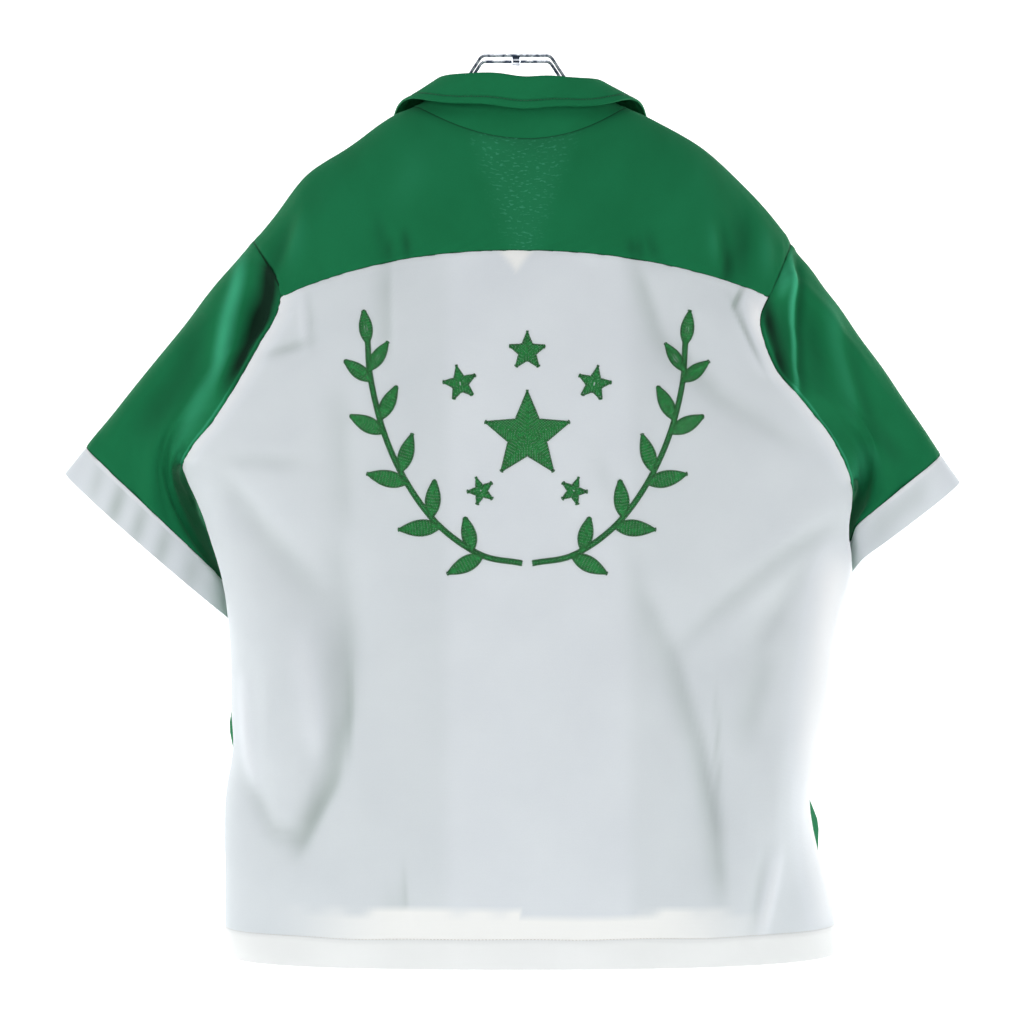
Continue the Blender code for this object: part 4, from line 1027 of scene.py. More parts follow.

# %% Painted light through the back
# Painted light: a lighter strip above the hem and a notch under the V, where the backdrop would shine
# through the back alone; the turned hem, whiter as a double layer, is painted lighter with them.
STRIP_TOP = 0.049           # a lit strip lies between the turned hem and this wavy line
STRIP_HALF = 0.235
STRIP_MIDDLE = 0.010
NOTCH_HALF = 0.019          # half width of the lit notch, where the V ends at the yoke's seam
NOTCH_SLOPE = 0.72
BAND_LIGHT = 0.75

band = soft_step((HEM_TURN - from_hem) / 0.0015)
back_x = back_net[..., 0]
strip_top = STRIP_TOP - 0.003 * np.tanh((back_x - 0.004) / 0.002)
strip_top += 0.004 * soft_step((back_x - 0.09) / 0.02)
strip_top += 0.0012 * np.sin(back_x / 0.019) + 0.0008 * np.sin(back_x / 0.0067)
strip = soft_step((strip_top - from_hem) / 0.0035) * (1 - band)
strip *= soft_step((STRIP_HALF - np.abs(back_x - STRIP_MIDDLE)) / 0.13)
notch = soft_step((NOTCH_HALF - from_yoke * NOTCH_SLOPE - np.abs(back_x)) / 0.010)
thin = np.maximum(band * BAND_LIGHT, np.maximum(strip, notch))
# Painted light along both side edges, where the backdrop lights them from behind, and painted shade, a
# little green, towards the sides, where the green fronts would show through.
tone += painted_seam_band(from_side, 0.014, 0.55) - 0.10 * soft_step((np.abs(back_x - 0.02) - 0.07) / 0.02)
hem_double = CLOTH + HEM_EXTRA * in_turn
back_panel = shell("knit_back_panel", back_net, back_out, hem_double, "white_knit", thin=thin,
                   tone=tone)

# %% [markdown]
# ## The yoke
#
# The yoke is one green piece that covers both shoulders. It could be a copy of a flat pattern bent
# over the wire. Its net runs outwards from the neck instead, so that its inner edge is exactly the
# neck's seam. The light behind the shirt would shine through the open neck, so painted light gives
# the yoke a paler V with specks, and a bright notch below its seam.

# %% Yoke
# Painted light: a paler V with specks, where the backdrop would shine through the open neck.
V_HALF = 0.056              # half width of the lit V at the height V_HALF_AT
V_HALF_AT = -0.084
V_SLOPE = 0.33              # by how much it widens with height
V_MIDDLE = 0.006
V_SOFTNESS = 0.024
V_TOP = -0.070
V_BRIGHT = 0.40
# Each row also paints shade into its fold, or light onto it where the row is above 0.
YOKE_FOLDS = folds(
    (-123, -157, -116, -190, 6, -1.5, -0.17, 0), (-98, -172, -95, -193, 4, -1.5, -0.34, 0),
    (-112, -179, -112, -195, 4, -1.2, -0.2, 0), (100, -178, 102, -193, 4, -1.5, -0.26, 0),
    (108, -176, 109, -195, 4, -1.5, -0.26, 0), (117, -172, 124, -195, 5, -1.5, -0.2, 0),
    (183, -164, 190, -206, 6, -2, -0.24, 0.2), (191, -188, 184, -216, 5, -2, -0.24, 0),
    (209, -137, 200, -204, 10, -3, -0.32, 0.3), (228, -155, 224, -199, 7, 2, 0.2, 0),
    (175, -164, 177, -195, 7, 1.5, 0.15, 0), (-203, -153, -221, -204, 11, -3, -0.36, 0.3),
    (-191, -144, -200, -193, 9, 2, 0.14, 0), (-179, -106, -191, -149, 13, -2, -0.12, 0),
    (-84, -100, -102, -144, 14, 1, 0.06, 0),
)

outer = SEAMS["arm yoke", LEFT][::-1] + SEAMS["yoke"][1:] + SEAMS["arm yoke", RIGHT][1:]
yoke_spots = patch(SEAMS["neck"], outer, SEAMS["front", LEFT][::-1], SEAMS["front", RIGHT][::-1])
yoke_columns = BACK_COLUMNS + 2 * YOKE_ARM_ROWS
yoke_net = finer(on_body(yoke_spots),
                 lines_along(FRONT_COLUMNS, 6, [(0, 0.2), (FRONT_COLUMNS, 0.3)]),
                 lines_along(yoke_columns, 6, [(0, 0.2), (yoke_columns, 0.2)]))
yoke_out = outward(yoke_net, False, ABOVE)
from_neck = run_lengths(yoke_net, 0)
from_seam = from_neck[-1:] - from_neck
round_neck = run_lengths(yoke_net, 1)
on_back = soft_step((-yoke_net[..., 1] - 0.02) / 0.03)
calm = soft_step(from_neck / 0.02) * soft_step(from_seam / 0.01)
pressed, tone = press(yoke_net, YOKE_FOLDS)
push = pressed * on_back
push += calm * drift_push(yoke_net[..., 0], yoke_net[..., 2], size=0.10, depth=0.0012, seed=21)
push += pucker_push(from_seam, round_neck, pitch=0.010, depth=0.0005, seed=22)
yoke_net = yoke_net + yoke_out * push[..., None]
v_half = V_HALF + (yoke_net[..., 2] - V_HALF_AT) * V_SLOPE
v_shape = soft_step((v_half - np.abs(yoke_net[..., 0] - V_MIDDLE)) / V_SOFTNESS) * on_back
v_shape *= soft_step((V_TOP - yoke_net[..., 2]) / 0.020)
# Painted shade: the folds' troughs, on the back only, narrow dark lines at the neck's and the yoke's
# seams, and a soft band beside the neck.
tone = tone * on_back + painted_seam_band(from_neck, 0.0012, -0.7) + painted_seam_band(from_seam, 0.0010, -0.8)
tone += painted_seam_band(from_neck, 0.007, -0.12)
yoke = shell("knit_yoke", yoke_net, outward(yoke_net, False, ABOVE), CLOTH, "green_knit",
             thin=v_shape * V_BRIGHT, tone=tone)

# %% [markdown]
# ## The two fronts
#
# The fronts close the hollow. Each runs from its side seam to a little past the middle, where the
# left one lies over the right one. The step between them is made in the net itself.

# %% Fronts
# Each row also paints a little shade into its trough or light onto its ridge.
FRONT_FOLDS = folds(
    (-215, -300, -130, -420, 16, -4, -0.1, 0.3), (-130, -420, -105, -600, 18, -3, -0.07, 0.2),
    (210, -310, 140, -430, 16, -4, -0.1, -0.3), (140, -430, 120, -640, 18, -3, -0.07, -0.2),
    (-60, -250, -75, -480, 20, 2, 0.05, 0), (75, -260, 85, -450, 20, 2, 0.05, 0),
    (-215, -520, -195, -780, 18, -3, -0.08, 0.2), (225, -500, 205, -790, 18, -3, -0.08, -0.2),
    (-150, -600, -160, -790, 14, 3, 0.06, 0), (165, -600, 170, -800, 14, 3, 0.06, 0),
    (-262, -600, -262, -640, 14, 10.5, 0, 0), (262, -688, 268, -732, 14, 12, 0, 0),
)


def front_rows(side):
    """The net of one front, from its hem to the yoke."""
    outer_edge = [(abs(angle), rise) for angle, rise in SEAMS["side", side]]
    if side == RIGHT:
        outer_edge = [(0.0, rise) for _, rise in outer_edge]
    outer_edge += SEAMS["arm front", side][1:]
    low_rows = SIDE_ROWS + ARM_ROWS - V_ROWS
    centre = [centre_spot(side, k / low_rows) for k in range(low_rows + 1)]
    centre += SEAMS["v", side][::-1][1:]
    seam_line = [over(spot) for spot in SEAMS["front", side]]
    hem = [(outer_edge[0][0] + (centre[0][0] - outer_edge[0][0]) * k / FRONT_COLUMNS, -1)
           for k in range(FRONT_COLUMNS + 1)]
    rows = []
    for spots in patch(hem, seam_line, outer_edge, centre):
        row = []
        for spot in spots:
            point = torso(*spot)
            share = smooth_step(1 - abs(point.x + side * OVERLAP) / OVERLAP_BLEND)
            height_share = smooth_step((V_HEIGHT + OVERLAP_TOP - point.z) / OVERLAP_TOP)
            row.append(point - torso_normal(*spot) * side * OVERLAP_STEP * share * height_share)
        rows.append(row)
    return rows


def front_piece(side):
    """One front with its folds, its final net and that net's normals."""
    net = finer(front_rows(side),
                lines_along(back_rows, 4, [(HEM_TURN / ROW_HEIGHT, 0.10), (back_rows, 0.1)]),
                lines_along(FRONT_COLUMNS, 8, [(0, 0.1), (FRONT_COLUMNS, 0.2)]))
    normals = outward(net, False, AHEAD)
    up = run_lengths(net, 0)
    across = run_lengths(net, 1)
    to_edge = across[:, -1:] - across
    still = soft_step(to_edge / 0.05) * soft_step(across / 0.02) * soft_step((up[-1:] - up) / 0.02)
    # The folds' painted shade and light, kept off the edges.
    pressed, tone = press(net, FRONT_FOLDS)
    waves = drift_push(net[..., 0], net[..., 2], size=0.11, depth=0.0015, seed=31 + side)
    push = still * (pressed + waves)
    push += pucker_push(across, up, pitch=0.013, depth=0.0005, seed=33 + side)
    push += pucker_push(np.abs(up - HEM_TURN), across + up, pitch=0.009, depth=0.0003, seed=35 + side,
                        fade=0.006)
    net = net + normals * push[..., None]
    thick = CLOTH + 0.0006 * soft_step((HEM_TURN - up) / 0.002)
    normals = outward(net, False, AHEAD)
    piece = shell("knit_front_" + SIDE_NAMES[side], net, normals, thick, "green_knit",
                  tone=tone * still)
    return piece, (net, normals)


fronts, front_nets = {}, {}
for side in SIDE_NAMES:
    fronts[side], front_nets[side] = front_piece(side)

# %% [markdown]
# ## Sleeves and cuffs
#
# A set-in sleeve is a tube that starts along the armhole and hangs to its cuff. Each column of its
# net is a curve that leaves the armhole in the body's own direction, bends, and falls. The tube is
# then evened out the way cloth does by itself, and kept just clear of the body. The cuff is a
# separate white band, folded double, sewn to the sleeve's end.

# %% Sizes of the sleeves
SLEEVE_ROWS = 9
CUFF_ROWS = 2
# outer and inner corners of each cuff's edge
SLEEVES = named_rows(
    "side outer inner half_open bow", 0,
    (LEFT, Vector((-0.4135, 0.000, -0.383)), Vector((-0.258, 0.046, -0.526)), 0.034,
     Vector((-0.002, 0.006, 0.000))),
    (RIGHT, Vector((0.4080, 0.004, -0.391)), Vector((0.270, 0.062, -0.500)), 0.037,
     Vector((0.004, 0.020, 0.000))))
CUFF_CLOTH = 0.0021         # a cuff band is folded double
CUFF_DEPTH = 0.031          # width of a cuff band
SLEEVE_START = 0.085        # how strongly a sleeve keeps the armhole's own direction
PIT_REACH = 0.11            # the underarm's soft bend fades out over this distance
SLEEVE_CLEAR = 0.0045       # a hanging sleeve stays this far from the body's cloth
SLEEVE_SPREAD = 0.17        # and this much more for each turn away from the underarm
SPREAD_TOP = -0.22          # the spread starts at this height
SPREAD_FALL = 0.12          # and is whole this much lower
SLEEVE_EASE = 0.35          # share of its length over which a sleeve moves clear
CUFF_EASE = 0.4             # share of its length over which the spread ends above the cuff
SLEEVE_TWIST = 0.03         # turns by which a cuff hangs forward of its armhole
RELAX_TIMES = 8             # how often a sleeve is evened out
RELAX_UNDER = 0.50          # by how much each time, at the underarm
RELAX_OVER = 0.06           # and at the outer edge, which is drawn tight already
FOLD_START = 0.22           # a sleeve's folds fade in over this share of its length
FOLD_END = 0.15             # and out over this share above the cuff


def sleeve_folds(*rows):
    """Rows of a sleeve's folds: the depth in millimetres, then places and widths as shares."""
    return named_rows("depth round_at along_at round_width along_width", 1, *rows)


# round: 0 underarm, 0.5 outer edge, by way of the back; along: 0 armhole
SLEEVE_FOLDS = sleeve_folds(
    (-11, 0.33, 0.14, 0.075, 0.16), (5, 0.42, 0.3, 0.05, 0.4), (-3, 0.2, 0.55, 0.08, 0.3),
    (-9, 0.67, 0.16, 0.075, 0.16), (-3, 0.78, 0.6, 0.08, 0.25),
)

print("the cuffs open", [round((sleeve.outer - sleeve.inner).length, 3) for sleeve in SLEEVES], "m")

# %% The sleeve's two ends
def armhole_loop(side):
    """The armhole seam's spots, from the pit up the back, over the shoulder and down the front."""
    back = SEAMS["arm back", side]
    yoke = SEAMS["arm yoke", side]
    front = [over(spot) for spot in reversed(SEAMS["arm front", side])]
    return back + yoke[1:] + front[1:-1]


def sleeve_axis(sleeve):
    shoulder = torso(*armhole_spot(sleeve.side, 1.0, BACK))
    return (sleeve.outer - shoulder).normalized()


def cuff_point(sleeve, angle):
    """A point on the cuff's oval edge, angle 0 at the underarm and pi at the outer edge."""
    middle = (sleeve.outer + sleeve.inner) / 2
    long_axis = (sleeve.outer - sleeve.inner) / 2
    deep = long_axis.cross(sleeve_axis(sleeve)).normalized()
    if deep.y > 0:
        deep = -deep
    return middle - long_axis * math.cos(angle) + deep * sleeve.half_open * math.sin(angle)

print("points round an armhole:", len(armhole_loop(LEFT)))

# %% Keeping a sleeve clear of the body
def ring_turns(points):
    """Each armhole point's share of a turn: 0 at the underarm, a half on top of the shoulder."""
    top = max(range(len(points)), key=lambda i: points[i].z)
    *lengths, whole = running(points + points[:1])
    return [0.5 * length / lengths[top] if i <= top
            else 0.5 + 0.5 * (length - lengths[top]) / (whole - lengths[top])
            for i, length in enumerate(lengths)]


def leaving(side, loop, points, i):
    """The direction in which the body's cloth would go on past the armhole's edge."""
    spot = (loop[0][0], -0.02) if i == 0 else loop[i]
    around = (points[(i + 1) % len(loop)] - points[i - 1]).normalized()
    onward = torso_normal(*spot).cross(around).normalized() * -side
    near_pit = 1 - smooth_step((points[i] - points[0]).length / PIT_REACH)
    return onward.lerp(Vector((side, 0, 0)), near_pit).normalized()


def body_edge(side, y, z):
    """How far from the middle the body's cloth reaches, at a depth and a height."""
    pit = pit_height(side)
    sine = min(abs(y) / HALF_DEPTH, 1.0) ** (1 / SHEET_POWER)
    cosine = math.sqrt(1 - sine * sine)
    section = cosine * reach(side * cosine, z)
    armhole = armhole_width(side, (z - pit) / (shoulder_height(side) - pit))
    return section + (armhole - section) * smooth_step((z - pit + 0.03) / 0.03)


def keep_clear(point, side, spread, share):
    """Moves a sleeve's point sideways, softly, until it is clear of the body."""
    below = smooth_step((SPREAD_TOP - point.z) / SPREAD_FALL)
    limit = body_edge(side, point.y, point.z) + SLEEVE_CLEAR + spread * below
    away = side * point.x
    softness = 0.004
    pushed = (away + limit + math.sqrt((away - limit) ** 2 + softness ** 2)) / 2
    return Vector((side * (away + (pushed - away) * share), point.y, point.z))

# %% The columns of a sleeve
def sleeve_rows(sleeve):
    """All rows of a sleeve and its cuff, from the armhole to the cuff's edge."""
    loop = armhole_loop(sleeve.side)
    start = [torso(*spot) for spot in loop]
    turns = ring_turns(start)
    steps = [(k / SLEEVE_ROWS) ** 1.2 for k in range(SLEEVE_ROWS + 1)]
    columns = []
    for i, (turn, point) in enumerate(zip(turns, start)):
        angle = (turn + SLEEVE_TWIST) * 2 * math.pi
        edge = keep_clear(cuff_point(sleeve, angle), sleeve.side, 0.0, 1.0)
        under = (1 + math.cos(angle)) / 2
        onward = sleeve_axis(sleeve).lerp(Vector((0, 0, -1)), under).normalized()
        seam = keep_clear(edge - onward * CUFF_DEPTH, sleeve.side, 0.0, 1.0)
        bent = leaving(sleeve.side, loop, start, i)
        spread = SLEEVE_SPREAD * min(turn, 1 - turn)
        column = []
        for t in steps:
            place = ((1 + 2 * t) * (1 - t) ** 2 * point + t * (1 - t) ** 2 * SLEEVE_START * bent
                     + t * t * (3 - 2 * t) * seam
                     + t * t * (t - 1) * (seam - point).length * 0.8 * onward)
            place += sleeve.bow * (4 * t * (1 - t) * under * under)
            share = smooth_step(t / SLEEVE_EASE)
            apart = spread * smooth_step((1 - t) / CUFF_EASE)
            column.append(keep_clear(place, sleeve.side, apart, share))
        column += [seam.lerp(edge, k / CUFF_ROWS) for k in range(1, CUFF_ROWS + 1)]
        columns.append(column)
    rows = [[column[j] for column in columns] for j in range(SLEEVE_ROWS + CUFF_ROWS + 1)]
    return relax(rows, turns, sleeve.side), turns, steps + [1.0] * CUFF_ROWS


def relax(rows, turns, side):
    """Evens out a sleeve between its two seams, the way cloth does, and keeps it off the body."""
    count = len(rows[0])
    for _ in range(RELAX_TIMES):
        new = [list(row) for row in rows]
        for j in range(1, SLEEVE_ROWS):
            for i in range(count):
                under = (1 + math.cos(turns[i] * 2 * math.pi)) / 2
                amount = RELAX_OVER + (RELAX_UNDER - RELAX_OVER) * math.sqrt(under)
                middle = (rows[j - 1][i] + rows[j + 1][i]
                          + rows[j][i - 1] + rows[j][(i + 1) % count]) / 4
                moved = rows[j][i].lerp(middle, amount)
                new[j][i] = keep_clear(moved, side, 0.0, smooth_step(j / 3))
        rows = new
    return rows

# %% Finer folds of the sleeves
FINE_SLEEVE_FOLDS = {
    LEFT: sleeve_folds(
        (-2.2, 0.3, 0.45, 0.03, 0.35), (1.8, 0.4, 0.6, 0.025, 0.35), (-2, 0.22, 0.88, 0.02, 0.12),
        (-1.8, 0.36, 0.92, 0.018, 0.1), (-2.2, 0.7, 0.5, 0.03, 0.3), (-1.8, 0.8, 0.85, 0.022, 0.14),
    ),
    RIGHT: sleeve_folds(
        (4.5, 0.405, 0.22, 0.016, 0.3), (-4, 0.36, 0.24, 0.022, 0.22), (-2, 0.28, 0.6, 0.03, 0.3),
        (-1.8, 0.3, 0.92, 0.02, 0.1), (-2.2, 0.68, 0.45, 0.03, 0.3), (-2, 0.82, 0.8, 0.022, 0.16),
    ),
}

print("finer folds of the left and right sleeve:", [len(rows) for rows in FINE_SLEEVE_FOLDS.values()])

# %% Folds seen from behind
# Besides their depth, these rows paint shade into troughs and recesses and light onto ridges, as the
# sleeves are seen from behind; the cuffs' rows below paint shade into the cuffs' folds.
BACK_SLEEVE_FOLDS = {
    LEFT: folds(
        (-219, -190, -222, -222, 10.5, -2.5, -1.15, 0), (-222, -222, -234, -258, 12, -3.5, -1.2, 0),
        (-236, -256, -257, -302, 9, -3.5, -1.1, -0.2), (-248, -192, -255, -232, 6.2, 1, 0.66, 0),
        (-256, -230, -268, -293, 7.2, 3, 0.64, 0), (-269, -292, -302, -350, 9, 2, 0.3, 0),
        (-285, -246, -300, -289, 13, -2.5, -0.3, 0), (-300, -289, -340, -344, 15, -2.5, -0.3, 0),
        (-306, -368, -294, -407, 6, 1.5, 0.3, 0), (-291, -389, -269, -468, 10, 0, 0.5, 0),
        (-337, -223, -374, -287, 10, 0, 0.12, 0),
    ),
    RIGHT: folds(
        (244, -195, 238, -222, 6, 1, 0.4, 0), (249, -193, 250, -313, 2.8, 1.2, 0.88, 0),
        (255, -193, 255, -313, 4.5, -2, -0.4, 0), (223, -229, 228, -260, 8, -2.5, -0.9, 0),
        (229, -260, 239, -300, 7, -2.5, -0.85, 0), (240, -238, 243, -306, 8, 0, -0.24, 0),
        (264, -240, 273, -303, 10, -2, -0.2, 0), (322, -362, 306, -404, 11, 0, 0.34, 0),
        (283, -229, 310, -325, 10, 1.5, 0.2, 0), (295, -252, 324, -343, 7, -2, -0.26, 0),
        (328, -343, 351, -372, 9, -1.5, -0.24, 0), (297, -389, 300, -416, 6, 0, 0.4, 0),
    ),
}
CUFF_FOLDS = {
    LEFT: folds(
        (-376, -372, -387, -409, 7, -1, -0.25, 0), (-357, -392, -370, -431, 7, -1.2, -0.55, 0),
        (-338, -412, -350, -449, 7, -1.2, -0.46, 0), (-318, -433, -329, -470, 7, -1.2, -0.46, 0),
        (-294, -455, -303, -490, 8, -1.2, -0.3, 0),
    ),
    RIGHT: folds(
        (372, -389, 358, -418, 10, -1, -0.22, 0), (342, -414, 328, -447, 10, -1, -0.22, 0),
        (356, -404, 344, -430, 7, -1, -0.14, 0),
    ),
}


print("folds on the cuffs:", [len(rows) for rows in CUFF_FOLDS.values()])

# %% Sleeve and cuff pieces
def sleeve_push(turn, step, table):
    """How far a sleeve's folds push it out, at shares of a turn and of its length."""
    push = np.zeros(np.broadcast(turn, step).shape)
    for fold in table:
        push += fold.depth * np.exp(-((turn - fold.round_at) / fold.round_width) ** 2
                                    - ((step - fold.along_at) / fold.along_width) ** 2)
    return push


def tube_facing(net):
    return net - net.mean(1, keepdims=True)


def sleeve_pieces(sleeve):
    """The sleeve and the cuff of one side."""
    rows, turns, steps = sleeve_rows(sleeve)
    coarse = net_of(rows)
    turn_row, step_column = np.array(turns)[None, :], np.array(steps)[:, None]
    fade = soft_step(step_column / FOLD_START) * soft_step((1 - step_column) / FOLD_END)
    push = sleeve_push(turn_row, step_column, SLEEVE_FOLDS) * fade
    coarse = coarse + outward(coarse, True, tube_facing(coarse)) * push[..., None]
    across = lines_along(len(turns), 7, loop=True)
    turn = np.interp(across, range(len(turns) + 1), turns + [1.0])[None, :]
    made = {}
    for part, start, end, thickness, finish in (
            ("sleeve", 0, SLEEVE_ROWS, CLOTH, "green_knit"),
            ("cuff", SLEEVE_ROWS, SLEEVE_ROWS + CUFF_ROWS, CUFF_CLOTH, "white_knit")):
        down = start + lines_along(end - start, 8, [(0, 0.12), (end - start, 0.12)])
        net = finer(coarse, down, across, True)
        normals = outward(net, True, tube_facing(net))
        step = np.interp(down, range(len(steps)), steps)[:, None]
        length = run_lengths(net, 0)
        round_about = run_lengths(net, 1)
        to_end = length[-1:] - length
        calm = soft_step(length / 0.012) if part == "sleeve" else soft_step(to_end / 0.2) + 0.5
        push = sleeve_push(turn, step, FINE_SLEEVE_FOLDS[sleeve.side]) * calm
        table = BACK_SLEEVE_FOLDS if part == "sleeve" else CUFF_FOLDS
        # Painted shade and light: from the tables where the sleeve faces back, from its folds' depth
        # elsewhere, narrow painted shade at both of its seams, and painted light beside the armhole's
        # lower part and beside the cuff's seam.
        pressed, tone = press(net, table[sleeve.side])
        on_back = soft_step(0.6 - normals[..., 1] * 2)
        tone = tone * on_back + np.clip(push / 0.006, -0.5, 0.5) * (1 - on_back)
        push += pressed * on_back * calm
        if part == "sleeve":
            low_seam = soft_step((-0.24 - net[..., 2]) / 0.02)
            tone += painted_seam_band(length, 0.0008, -0.9)
            tone += painted_seam_band(length - 0.0045, 0.0014, 0.5) * low_seam
            tone += painted_seam_band(to_end, 0.0011, -0.9)
            push += calm * drift_push(round_about, length, size=0.07, depth=0.0010, seed=41 + sleeve.side)
            push += pucker_push(length, round_about, pitch=0.010, depth=0.0006, seed=43 + sleeve.side)
            push += pucker_push(to_end, round_about, pitch=0.009, depth=0.0004, seed=45 + sleeve.side)
        else:
            tone += painted_seam_band(length - 0.0016, 0.0014, 0.6)
            push += pucker_push(length, round_about, pitch=0.009, depth=0.0003, seed=47 + sleeve.side)
        net = net + normals * push[..., None]
        normals = outward(net, True, tube_facing(net))
        made[part] = shell(f"knit_{part}_{SIDE_NAMES[sleeve.side]}", net, normals, thickness, finish,
                           loop=True, tone=tone)
    return made


sleeves = {sleeve.side: sleeve_pieces(sleeve) for sleeve in SLEEVES}

# %% [markdown]
# ## The collar
#
# A camp collar has no separate stand: one piece rises from the neck seam, rolls over and falls
# outside, and its points lie open in front. It is drawn as a cross-section that changes on its way
# round the neck, and the sections are joined. A row of stitching runs seven millimetres in from
# its edge.

# %% Collar sections
COLLAR_END = 0.46
COLLAR_ROLL = 0.0035
COLLAR_SET = 0.0007
COLLAR_CLOTH = 0.0018
COLLAR_ROW = 0.007          # its row of stitches runs this far in from its edge
# turn: degrees round from centre back, lean angles in degrees
COLLAR = named_rows(
    "rise fall turn lean fall_lean", 2,
    (49, 25.5, 0, 19, 18), (50, 26, 28, 19, 18), (39, 30, 55, 21, 17), (29, 29, 78, 25, 11),
    (23, 32, 95, 28, 8), (16, 46, 120, 32, 6), (12, 60, 150, 34, 5), (10, 70, 180, 34, 4),
)


def collar_line():
    """Spots of the collar's seam from its left end round the back, their places and their turns."""
    rows = round(COLLAR_END * V_ROWS)
    arms = {side: [over(spot) for spot in SEAMS["v", side][1:rows + 1]] for side in SIDE_NAMES}
    spots = arms[LEFT][::-1] + SEAMS["neck"] + arms[RIGHT]
    places = [torso(*spot) for spot in spots]
    lengths = running(places)
    middle = lengths[len(spots) // 2]
    return spots, places, [(length - middle) / (lengths[-1] - middle) * 180 for length in lengths]

print("the collar's seam has", len(collar_line()[0]), "points")

# %% The collar's net
def collar_section(spot, base, around, size):
    """One section of the collar: up from the seam, over the roll and down outside."""
    out = torso_normal(*spot)
    inwards = out.cross(around).normalized()
    if inwards.z < 0:
        inwards = -inwards
    lean, fall_lean = math.radians(size("lean")), math.radians(size("fall_lean"))
    rise, fall = size("rise"), size("fall")
    line = [(0.0, 0.0)]
    for t in (0.3, 0.65, 1.0):
        bend = lean * smooth_step(t * 3)
        line.append((COLLAR_SET + rise * t * math.cos(bend), rise * t * math.sin(bend)))
    end = line[-1]
    centre = (end[0] - COLLAR_ROLL * math.sin(lean), end[1] + COLLAR_ROLL * math.cos(lean))
    for quarter in (1, 2, 3, 4):
        angle = lean - math.pi / 2 + quarter * math.pi / 4
        line.append((centre[0] + COLLAR_ROLL * math.cos(angle),
                     centre[1] + COLLAR_ROLL * math.sin(angle)))
    start = line[-1]
    for t in (0.35, 0.7, 1.0):
        line.append((start[0] - fall * t * math.cos(fall_lean),
                     start[1] - fall * t * math.sin(fall_lean)))
    return [base + inwards * p + out * q for p, q in line]


def smooth_columns(rows, times):
    """Evens out each column of points except its first point, which stays on the seam."""
    for _ in range(times):
        new = [list(row) for row in rows]
        for k in range(1, len(rows) - 1):
            for i in range(1, len(rows[k])):
                new[k][i] = rows[k][i] * 0.5 + (rows[k - 1][i] + rows[k + 1][i]) * 0.25
        rows = new
    return rows


collar_spots, collar_places, collar_turns = collar_line()
sections = []
for k, (spot, base, turn) in enumerate(zip(collar_spots, collar_places, collar_turns)):
    after, before = collar_places[min(k + 1, len(collar_places) - 1)], collar_places[max(k - 1, 0)]
    sections.append(collar_section(spot, base, (after - before).normalized(),
                                   lambda column: table_value(COLLAR, "turn", column, abs(turn))))
sections = smooth_columns(sections, 8)
print("collar sections:", len(sections))

# %% Collar piece
# Painted shadow of the fall on the stand.
COLLAR_SHADE = folds(       # the fall's shadow
    (-47, -55, -4, -60, 3.5, 0, -0.9, 0), (7, -62, 35, -62, 3, 0, -0.9, 0),
    (-86, -50, -59, -55, 3, 0, -0.5, 0), (76, -57, 101, -62, 3.5, 0, -0.5, 0),
)


def collar_out(net):
    """Normals of the collar's net. Its back tells which way is out."""
    return outward(net, False, np.array((0, -1, 0.3)) * (net[..., 1:2] < 0))


last = len(sections) - 1
collar_net = finer(sections, lines_along(last, 4, [(0, 0.1), (last, 0.1)]),
                   lines_along(10, 6, [(0, 0.1), (10, 0.15)]))
up_collar = run_lengths(collar_net, 1)
from_edge = up_collar[:, -1:] - up_collar
along_collar = run_lengths(collar_net, 0)
push = pucker_push(np.abs(from_edge - COLLAR_ROW), along_collar + from_edge, pitch=0.008,
                   depth=0.00035, seed=51, fade=0.006)
push += 0.0008 * np.sin(along_collar / 0.031 + 1.0) * soft_step(up_collar / 0.02)
collar_net = collar_net + collar_out(collar_net) * push[..., None]
collar_normals = collar_out(collar_net)
# Painted shade: a narrow line at the neck's seam, the stand darker under the fall and the fall's shadow
# on it, all kept to the stand, and a line along the row of stitches.
tone = painted_seam_band(up_collar, 0.0012, -0.5) - 0.30 * soft_step((up_collar - 0.010) / 0.012)
tone += press(collar_net, COLLAR_SHADE)[1] * (collar_net[..., 1] < 0)
tone *= soft_step((0.032 - up_collar) / 0.006)
tone += painted_seam_band(np.abs(from_edge - COLLAR_ROW), 0.0012, -0.35)
collar = shell("knit_collar", collar_net, collar_normals, COLLAR_CLOTH, "green_knit", tone=tone)

# %% [markdown]
# ## Lapels
#
# Where the collar ends, the fronts' own corners fold back. Each lapel is laid on its front: its
# points are found on the V's edge, and dropped straight onto the finished cloth with a ray, so that
# it never sinks into a fold.

# %% Laying things on cloth
def tree_of(piece):
    return BVHTree.FromObject(piece, bpy.context.evaluated_depsgraph_get())


def drop(tree, point, out, lift, start=0.03):
    """The cloth's point under a point, raised by lift along the cloth's own normal, and that normal."""
    out = Vector(out)
    hit, normal, _, _ = tree.ray_cast(point + out * start, -out)
    if hit is None:
        hit, normal, _, _ = tree.find_nearest(point)
    if normal.dot(out) < 0:
        normal = -normal
    return hit + normal * lift, normal


bpy.context.view_layer.update()
trees = {"back": tree_of(back_panel), LEFT: tree_of(fronts[LEFT]), RIGHT: tree_of(fronts[RIGHT])}
print("cloth ready to be laid on:", len(trees))

# %% Lapel pieces
LAPEL_START = 0.53
LAPEL_END = 0.84
LAPEL_WIDTH = 0.052
LAPEL_LIFT = 0.0015


